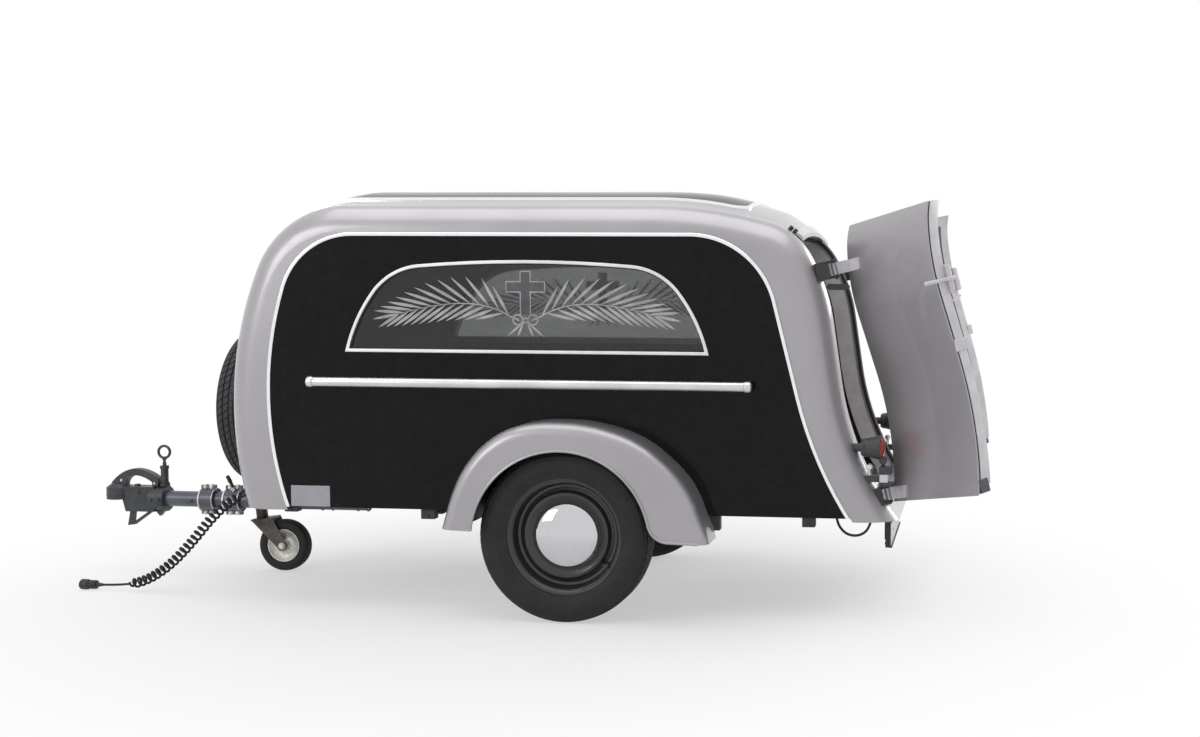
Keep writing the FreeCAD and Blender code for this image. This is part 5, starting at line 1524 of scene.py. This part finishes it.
class HEARSE_OT_guards(bpy.types.Operator):
    """Make the swept mudguards with their inner arches and rolled lips"""

    bl_idname = "hearse.guards"
    bl_label = "Mudguards"

    def execute(self, context):
        finish_pair(self.make_shell(), "guard_right_skin", "silver",
                    ["mudguard_"])
        finish_pair(self.make_inner(), "guard_lining_right", "underside")
        self.make_lip()
        return {"FINISHED"}

    def top_line(self):
        """Places along the guard's top line, made smooth by one curve, and which way is out."""
        curve = bpy.data.curves.new("guard line", "CURVE")
        curve.dimensions = "3D"
        curve.resolution_u = 6
        spline = curve.splines.new("BEZIER")
        spline.bezier_points.add(len(GUARD_SHARES) - 1)
        for mark, (along, up) in zip(spline.bezier_points, GUARD_SHARES):
            mark.co = at(along * GUARD_RADIUS, 0, GUARD_HEIGHT + up * GUARD_RADIUS)
            mark.handle_left_type = "AUTO"
            mark.handle_right_type = "AUTO"
        line = route_points(curve)
        below = Vector((0, 0, GUARD_TAIL * MM))
        line = [line[0] - below] + line + [line[-1] - below]
        outward = []
        for before, after in zip(line[:1] + line, line[1:] + line[-1:]):
            run = (after - before).normalized()
            outward.append(Vector((-run.z, 0, run.x)))
        return line, outward

    def solid(self, inset, name):
        """The guard's full outline with its outer edge rounded over, as a closed block."""
        line, outward = self.top_line()
        radius = GUARD_SHOULDER - inset
        steps = [(inset, BODY_HALF_WIDTH + (1 if inset == 0 else -15))]
        for step in range(10):
            angle = math.radians(90 * step / 9)
            steps.append((inset + radius * (1 - math.cos(angle)),
                          GUARD_OUTER_Y - inset - radius * (1 - math.sin(angle))))
        bm = bmesh.new()
        number = bm.verts.layers.int.new("number")
        ring = [bm.verts.new(place) for place in line]
        for index, vert in enumerate(ring):
            vert[number] = index
        edges = [bm.edges.new(pair) for pair in zip(ring, ring[1:] + ring[:1])]
        for step in steps:
            drawn_in, y = step
            if step is not steps[0]:
                made = bmesh.ops.extrude_edge_only(bm, edges=edges)["geom"]
                ring, edges = only_verts(made), only_edges(made)
            for vert in ring:
                vert.co = line[vert[number]] - outward[vert[number]] * drawn_in * MM
                vert.co.y = -y * MM
            if step in (steps[0], steps[-1]):
                bmesh.ops.edgeloop_fill(bm, edges=edges)
        bm.verts.layers.int.remove(number)
        if inset == 0:
            (x0, z0), (x1, z1) = GUARD_ENDS
            cut_off(bm, at(x0, 0, z0), (z1 - z0, 0, x0 - x1))
        return to_object(bm, name)

    def opening(self):
        """The wheel's opening: a round arch with straight sides below."""
        arch = bmesh.new()
        rod(arch, at(0, -900, GUARD_OPENING_HEIGHT), at(0, -300, GUARD_OPENING_HEIGHT),
            GUARD_OPENING, 128)
        low = bmesh.new()
        slab(low, -GUARD_OPENING, GUARD_OPENING, -900, -300, -50, GUARD_OPENING_HEIGHT)
        return [to_object(arch, "opening"), to_object(low, "opening low")]

    def flare(self):
        """The rounded corner where the opening turns into the rear edge."""
        x, z = FLARE_CENTRE
        corner = bmesh.new()
        slab(corner, x - 80, x, -900, -300, 150, 339.5)
        round_part = bmesh.new()
        rod(round_part, at(x, -1000, z), at(x, -200, z), FLARE_RADIUS, 128)
        return carve(to_object(corner, "flare"), [to_object(round_part, "flare round")])

    def make_shell(self):
        shell = self.solid(0.0, "guard_left_skin")
        carve(shell, [self.solid(GUARD_WALL, "inside")])
        return carve(shell, [*self.opening(), self.flare()])

    def make_inner(self):
        """A black inner arch between the wheel and the coach."""
        bm = bmesh.new()
        turned(bm, [(318, -522), (322, -522), (322, -640), (318, -640)], 96,
               Matrix.Translation(at(0, 0, GUARD_OPENING_HEIGHT)))
        cut_below(bm, 330, bmesh.ops.holes_fill)
        return to_object(bm, "guard_lining_left")

    def arc(self, x, z, reach, start, turn, steps):
        """Places along an arc just off the guard's outer face, its angles in degrees."""
        angles = [math.radians(start + turn * step / steps) for step in range(steps + 1)]
        return [at(x + reach * math.cos(angle), -(GUARD_OUTER_Y + 1),
                   z + reach * math.sin(angle)) for angle in angles]

    def make_lip(self):
        """A rolled lip round the opening and along the rear edge."""
        places = self.arc(0, GUARD_OPENING_HEIGHT, GUARD_OPENING + 2, 173.8, -161.9, 60)
        places += self.arc(*FLARE_CENTRE, FLARE_RADIUS - 2, 192, 78, 14)[1:]
        places += [at(x, -(GUARD_OUTER_Y + 1), z) for x, z in ((420, 284), (462, 282.4))]
        curve = smooth_route("guard_lip", places)
        thicken(curve, LIP_DIAMETER)
        bm = opened(mesh_of_curve(curve))
        mirror_bm(bm)
        add_piece(bm, "guard_lips", "silver", even_normals=False)


# Handrails, drawbar and jockey wheel


RAIL_Y = 565.0
RAIL_HEIGHT = 788.0
RAIL_ENDS = (-897.0, 606.0)
RAIL_CAP_SHAPE = ((0, 14), (9, 13.6), (15, 11.6), (18.6, 8), (20, 3.5), (20, -9), (19, -11),
                  (17.6, -11.4), (19, -12), (19, -13), (17, -13.4), (0, -13.4))
RAIL_POST_SHAPE = ((9, 42), (9, 10), (10, 7), (11, 4.5), (13, 3), (14, 1.6), (14, 0), (9, 0))
SOCKET_X = -1942.0
COUPLING_REAR = -1743.0
RING_X = -1757.0
JOCKEY_X = -1434.0
JOCKEY_MARK = 355.0
JOCKEY_LEAN = math.radians(7.0)


class HEARSE_OT_rails(bpy.types.Operator):
    """Make the satin handrails with turned end caps and flanged posts"""

    bl_idname = "hearse.rails"
    bl_label = "Handrails"

    def execute(self, context):
        bm = bmesh.new()
        front, rear = RAIL_ENDS
        rod(bm, at(front, -RAIL_Y, RAIL_HEIGHT), at(rear, -RAIL_Y, RAIL_HEIGHT), 17.0, 48)
        for x, turn in ((front, QUARTER_TURN), (rear, -QUARTER_TURN)):
            turned(bm, RAIL_CAP_SHAPE, 40, placed(at(x, -RAIL_Y, RAIL_HEIGHT), turn),
                   closed=False)
        for index in range(4):
            x = front + (rear - front) * (index + 0.5) / 4
            turned(bm, RAIL_POST_SHAPE, 32,
                   placed(at(x, -BODY_HALF_WIDTH, RAIL_HEIGHT), math.pi))
        mirror_bm(bm)
        finish_piece(to_object(bm, "rail_mouldings", 50, turn_out=False), "rail",
                     ["handrails"])
        return {"FINISHED"}


def on_stem(x, y, along):
    """A place on the leaning jockey stem, measured from its mark."""
    turn = Matrix.Rotation(-JOCKEY_LEAN, 3, "Y")
    return at(JOCKEY_X, JOCKEY_Y, JOCKEY_MARK) + turn @ Vector((x, y, along)) * MM


class HEARSE_OT_drawbar(bpy.types.Operator):
    """Make the drawbar's clamps, bolts, coupling castings and jockey gear details"""

    bl_idname = "hearse.drawbar"
    bl_label = "Drawbar"

    def execute(self, context):
        self.make_bar_marks()
        self.make_clamps()
        self.make_coupling()
        self.make_ring()
        self.make_jockey()
        return {"FINISHED"}

    def make_bar_marks(self):
        """A dark rod through the bar whose ends paint the shade of a drilled hole, and weld beads
        at its saddles.
        """
        bm = bmesh.new()
        # Painted shade: a dark rod through the bar, its ends dark discs in place of the shade
        # inside a drilled hole
        rod(bm, at(-1632, -30.6, 284), at(-1632, 30.6, 284), 5.5)
        add_piece(bm, "drawbar_hole_painted_shade", "seal")
        bm = bmesh.new()
        for x in (-1120, -1080, -980, -940):
            turned(bm, [(30.0, -3.5), (33.0, -1.2), (33.0, 1.2), (30.0, 3.5), (28, 0)], 40,
                   placed(at(x, 0, DRAWBAR_HEIGHT), QUARTER_TURN))
        add_piece(bm, "drawbar_welds", "drawbar", even_normals=False)

    def make_clamps(self):
        """Bright bands, bolts with nuts, and the clamp's small black lever."""
        bm = bmesh.new()
        for x, width in ((-1605, 7), (-1550, 4), (-1507, 7), (-1446, 4)):
            profile = [(42.2, -width / 2), (44.6, -width / 2 + 1), (44.6, width / 2 - 1),
                       (42.2, width / 2), (40.5, 0)]
            turned(bm, profile, 64, placed(at(x + width / 2, 0, DRAWBAR_HEIGHT), QUARTER_TURN))
        for x in (-1589, -1565, -1489, -1461):
            for z in (DRAWBAR_HEIGHT + 50, DRAWBAR_HEIGHT - 50):
                for way in (-1, 1):
                    bolt_head(bm, at(x, way * 8, z), (0, way, 0), 6.5, 5)
                    rod(bm, at(x, way * 8, z), at(x, way * 9.4, z), 8.6, 20)
        for x in (-1487, -1463):
            bolt_head(bm, at(x, -41, 285), (0, -1, 0), 5.2, 3.4)
        add_piece(bm, "clamp_bands", "zinc")
        bm = bmesh.new()
        base = at(-1470, -20, 338)
        tip = at(-1488, -30, 384)
        rod(bm, base, base + (tip - base) * 0.5, 5.5, 20, 6.5)
        rod(bm, base + (tip - base) * 0.45, tip, 8.0, 24, 6.5, 2.0)
        add_piece(bm, "clamp_lever", "plastic")
        bm = bmesh.new()
        rod(bm, at(-1470, -20, 300), base, 4.5, 20)
        bolt_head(bm, at(-1470, -20, 326), (0, 0, 1), 9.0, 7.0)
        add_piece(bm, "clamp_spindle", "zinc")

    def make_coupling(self):
        """Parting ridge, collar, ribs, bolts and cap on the coupling, and its handle's pins."""
        bm = bmesh.new()
        turned(bm, [(46.6, -2.2), (48.4, -1), (48.4, 1), (46.6, 2.2)], 64,
               placed(at(SOCKET_X, 0, 302), QUARTER_TURN, "X"))
        turned(bm, [(46.4, -3), (49.0, -1.5), (49.0, 1.5), (46.4, 3)], 64,
               placed(at(COUPLING_REAR - 4, 0, DRAWBAR_HEIGHT), QUARTER_TURN))
        for z0, z1 in ((284, 290), (328, 333)):
            slab(bm, SOCKET_X + 46, COUPLING_REAR - 52, -31.5, 31.5, z0, z1, 1.5)
        for x in (-1850, -1812):
            for way in (-1, 1):
                bolt_head(bm, at(x, way * 30, 312), (0, way, 0), 7.0, 5.0)
                rod(bm, at(x, way * 30, 312), at(x, way * 31.6, 312), 9.4)
        rod(bm, at(-1868, 0, 332), at(-1868, 0, 341), 12, 28, 10, 1.2)
        for x in (-1791, -1758):
            for way in (-1, 1):
                bolt_head(bm, at(x, way * 46, DRAWBAR_HEIGHT), (0, way, 0), 7.5, 5.5)
        add_piece(bm, "coupling_castings", "coupling", limit=40)
        bm = bmesh.new()
        for x, z in ((-1924, 356), (-1790, 346)):
            rod(bm, at(x, -19, z), at(x, 19, z), 5.0, round_off=1.0)
        add_piece(bm, "coupling_pins", "zinc")

    def make_ring(self):
        """The collars of the ring's sleeve and the grip between sleeve and ring."""
        bm = bmesh.new()
        for low, high, radius, segments, end_radius, round_off in (
                (334, 346, 19.0, 32, 19.0, 1.8), (346, 352, 16.5, 32, 16.5, 1.8),
                (402, 414, 16.5, 32, 16.5, 1.8), (414, 430, 7.5, 24, 6.0, 1.0),
                (436, 446, 8.0, 24, 9.0, 2.0)):
            rod(bm, at(RING_X, 0, low), at(RING_X, 0, high), radius, segments, end_radius,
                round_off)
        add_piece(bm, "ring_sleeve_collars", "coupling")

    def make_jockey(self):
        """Collars and grease nipple on the stem, its crank and knob, and the axle's nuts."""
        bm = bmesh.new()
        rod(bm, on_stem(0, 0, 205), on_stem(0, 0, 218), 27.5, 40, round_off=2.0)
        rod(bm, on_stem(0, 0, 224), on_stem(0, 0, 236), 12.0, 30, 9.0, 2.0)
        rod(bm, on_stem(0, 0, -62), on_stem(0, 0, -52), 26.0, 40, round_off=1.5)
        rod(bm, on_stem(0, -24, 150), on_stem(0, -29, 150), 5.0, 16, 3.0)
        add_piece(bm, "jockey_collars", "stem zinc")
        bm = bmesh.new()
        rod(bm, on_stem(0, 0, 230), on_stem(0, 0, 246), 5.5, 20)
        rod(bm, on_stem(-4, 0, 244), on_stem(58, 0, 244), 5.0, 20, round_off=1.5)
        add_piece(bm, "jockey_crank", "zinc")
        bm = bmesh.new()
        rod(bm, on_stem(54, 0, 240), on_stem(54, 0, 292), 8.5, 28, 10.0, 3.0)
        add_piece(bm, "jockey_knob", "plastic")
        bm = bmesh.new()
        for way in (-1, 1):
            start = at(*JOCKEY_WHEEL) + Vector((0, way * 35.5, 0)) * MM
            bolt_head(bm, start, (0, way, 0), 10.0, 7.0)
            rod(bm, start, start + Vector((0, way * 1.6, 0)) * MM, 13.0, 28)
        add_piece(bm, "jockey_nuts", "zinc", body="jockey_fork_body")


# Tail lamps, plate board and small parts


LAMP_Y = 468.0
LAMP_REAR = 1036.0
LAMP_HEIGHT = 585.0
SPRING_Y = 400.0
ROLLER_PLACES = range(-1000, 860, 155)


class HEARSE_OT_details(bpy.types.Operator):
    """Make the tail lamps, blank badge, plate board, underbody parts, straps and rollers"""

    bl_idname = "hearse.details"
    bl_label = "Lamps and small parts"

    def execute(self, context):
        self.make_lamps()
        self.make_badge()
        self.make_board()
        self.make_underbody()
        self.make_straps()
        self.make_deck_parts()
        return {"FINISHED"}

    def make_lamps(self):
        """Cup-shaped lamps with red lenses, and a bracket, pale block and knob under each."""
        place = placed(at(LAMP_REAR, -LAMP_Y, LAMP_HEIGHT), -QUARTER_TURN)
        bm = bmesh.new()
        turned(bm, [(12, -63), (26, -63), (27.6, -60), (39.4, -6), (41, -3), (41, 2),
                    (39.6, 3.4), (38.4, 3.4), (37.8, -4), (12, -4)], 64, place)
        turned(bm, [(28.6, -56), (31.0, -54), (31.2, -50), (29.6, -48)], 56, place)
        rod(bm, at(948, -LAMP_Y, LAMP_HEIGHT), at(976, -LAMP_Y, LAMP_HEIGHT), 14, 32)
        for x0, x1, half, z0, z1, round_off in (
                (948, 1040, 11, 470, 492, 2.0), (1034, 1076, 23, 497, 524, 4.0),
                (1034, 1078, 22, 457, 471, 2.5), (1040, 1052, 5, 520, 550, 2.0)):
            slab(bm, x0, x1, -LAMP_Y - half, -LAMP_Y + half, z0, z1, round_off)
        rod(bm, at(1046, -LAMP_Y - 15, 543), at(1046, -LAMP_Y + 15, 543), 13, 36, round_off=3.0)
        mirror_bm(bm)
        add_piece(bm, "lamp_housings", "coupling", ["tail_lamps"], limit=40)
        bm = bmesh.new()
        turned(bm, [(0, -3.6), (37.6, -3.6), (37.6, 3.0), (35.5, 6.5), (30, 10), (20, 14),
                    (10, 16.4), (0, 17.2)], 56, place, closed=False)
        mirror_bm(bm)
        add_piece(bm, "lamp_red_lenses", "lens", ["lamp_lenses"], limit=50)
        bm = bmesh.new()
        slab(bm, 1035, 1064, -LAMP_Y - 21, -LAMP_Y + 21, 470, 498, 3.0)
        mirror_bm(bm)
        add_piece(bm, "lamp_blocks", "strip")
        bm = bmesh.new()
        rod(bm, at(1000, -LAMP_Y, 490), at(1000, -LAMP_Y, 514), 5.5)
        rod(bm, at(1000, -LAMP_Y - 11, 520), at(1000, -LAMP_Y + 11, 520), 10.5, 36,
            round_off=4.0)
        mirror_bm(bm)
        add_piece(bm, "lamp_knobs", "hubcap", even_normals=False)

    def make_badge(self):
        """A blank plate with four rivets, on the near side only."""
        bm = bmesh.new()
        slab(bm, -993, -853, -522.2, -519.5, 354, 426, 0.9)
        for x in (-985, -861):
            for z in (362, 418):
                rod(bm, at(x, -522, z), at(x, -523.6, z), 3.0, 16, 1.8)
        add_piece(bm, "blank_badge", "badge")

    def make_board(self):
        """A pale blank plate in a holder, with its lamp above it."""
        bm = bmesh.new()
        slab(bm, 1059.5, 1061.5, -255, 255, 216, 302, 0.8)
        add_piece(bm, "blank_plate", "strip")
        bm = bmesh.new()
        slab(bm, 1056, 1066, -262, 262, 211, 217, 1.5)
        slab(bm, 1056, 1066, -262, 262, 300, 306, 1.5)
        for way in (-1, 1):
            for z in (216, 262):
                bolt_head(bm, at(1041, way * 200, z), (-1, 0, 0), 6.0, 4.5)
        slab(bm, 1048, 1078, -46, 46, 308, 330, 4.0)
        add_piece(bm, "plate_holder", "plastic")
        bm = bmesh.new()
        for way in (-1, 1):
            rod(bm, at(1061, way * 150, 259), at(1064, way * 150, 259), 6.0, 6, round_off=0.8)
        slab(bm, 1052, 1074, -38, 38, 305.5, 309, 0.8)
        add_piece(bm, "plate_bolts", "zinc")

    def make_underbody(self):
        """Spring clips, shackle bolts and the sill brackets."""
        bm = bmesh.new()
        for middle in (-SPRING_Y, SPRING_Y):
            slab(bm, -52, 52, middle - 30, middle + 30, 256, 262, 1.5)
            for x in (-42, 42):
                slab(bm, x - 6, x + 6, middle - 29, middle + 29, 308, 341, 2.0)
                for y in (middle - 25, middle + 25):
                    rod(bm, at(x, y, 246), at(x, y, 335), 5.0, 16)
                    bolt_head(bm, at(x, y, 256), (0, 0, -1), 8.5, 6.5)
            for x in (-512, 462):
                rod(bm, at(x, middle - 34, 330), at(x, middle + 34, 330), 7.0, 20)
                for way in (-1, 1):
                    bolt_head(bm, at(x, middle + way * 26, 330), (0, way, 0), 10.0, 7.0)
        add_piece(bm, "spring_clips", "underside")
        bm = bmesh.new()
        for x0, x1, z0 in ((-1026, -978, 331), (-537, -487, 316), (435, 502, 300),
                           (779, 823, 318)):
            slab(bm, x0, x1, -506, -470, z0, 400, 3.0)
            bolt_head(bm, at((x0 + x1) / 2, -506, z0 + 9), (0, -1, 0), 6.5, 4.0)
        mirror_bm(bm)
        add_piece(bm, "sill_brackets", "underside")

    def make_straps(self):
        """Black check straps near the upper hinges, bent a little under their own weight."""
        for way, side in ((-1, "left"), (1, "right")):
            bm = bmesh.new()
            slab(bm, 858, 926, way * 464 - 2, way * 464 + 2, 1108, 1128)
            long_edges = [edge for edge in bm.edges if edge.calc_length() > 60 * MM]
            bmesh.ops.subdivide_edges(bm, edges=long_edges, cuts=3)
            for vert in bm.verts:
                share = (vert.co.x - at(892, 0, 0).x) / (34 * MM)
                vert.co.z += 2 * MM * share ** 2
            for x in (858, 926):
                bolt_head(bm, at(x, way * 467, 1120), (0, way, 0), 6.0, 3.0)
            add_piece(bm, "check_strap_" + side, "plastic")

    def make_deck_parts(self):
        """Rollers with their cheeks, and end stops, on the slide deck."""
        bm = bmesh.new()
        for x in ROLLER_PLACES:
            for way in (-1, 1):
                rod(bm, at(x, way * 172, 519), at(x, way * 128, 519), 12.0, round_off=1.5)
        add_piece(bm, "deck_rollers", "seal")
        bm = bmesh.new()
        for x in ROLLER_PLACES:
            for y in (-177, -123, 123, 177):
                slab(bm, x - 16, x + 16, y - 3, y + 3, 513, 526, 1.0)
        for y in (-240, 240):
            slab(bm, 842, 858, y - 22, y + 22, 514, 540, 2.0)
            slab(bm, -1078, -1062, y - 22, y + 22, 514, 546, 2.0)
        add_piece(bm, "deck_stops", "steel")


class HEARSE_OT_finishes(bpy.types.Operator):
    """Give every solid that stays visible its finish"""

    bl_idname = "hearse.finishes"
    bl_label = "Finishes of the solids"

    def execute(self, context):
        for name, finish in CAD_FINISHES.items():
            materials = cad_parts[name].data.materials
            materials.clear()
            materials.append(FINISHES[finish])
        return {"FINISHED"}


SETTINGS = {"hearse_coach": CoachSettings, "hearse_wheels": WheelSettings,
            "hearse_lead": LeadSettings, "hearse_stage": StageSettings}


class HEARSE_PT_trailer(bpy.types.Panel):
    """Sizes and colours of the hearse trailer, and a button for each group of pieces"""

    bl_idname = "HEARSE_PT_trailer"
    bl_label = "Hearse Trailer"
    bl_space_type = "VIEW_3D"
    bl_region_type = "UI"
    bl_category = "Hearse"

    def draw(self, context):
        for name, group in SETTINGS.items():
            box = self.layout.box()
            for field in group.__annotations__:
                box.prop(getattr(context.scene, name), field)
        for item in OPERATORS:
            self.layout.operator(item.bl_idname)


OPERATORS = (HEARSE_OT_stage, HEARSE_OT_lead, HEARSE_OT_coach, HEARSE_OT_windows,
             HEARSE_OT_doors, HEARSE_OT_wheels, HEARSE_OT_guards, HEARSE_OT_rails,
             HEARSE_OT_drawbar, HEARSE_OT_details, HEARSE_OT_finishes)
CLASSES = (*SETTINGS.values(), *OPERATORS, HEARSE_PT_trailer)


def register():
    for item in CLASSES:
        bpy.utils.register_class(item)
    for name, group in SETTINGS.items():
        setattr(bpy.types.Scene, name, PointerProperty(type=group))


def unregister():
    for name in SETTINGS:
        delattr(bpy.types.Scene, name)
    for item in reversed(CLASSES):
        bpy.utils.unregister_class(item)


def main():
    register()
    bpy.ops.hearse.stage()
    bpy.ops.hearse.lead()
    bpy.ops.hearse.coach()
    bpy.ops.hearse.windows()
    bpy.ops.hearse.doors()
    bpy.ops.hearse.wheels()
    bpy.ops.hearse.guards()
    bpy.ops.hearse.rails()
    bpy.ops.hearse.drawbar()
    bpy.ops.hearse.details()
    bpy.ops.hearse.finishes()


if __name__ == "__main__":
    main()
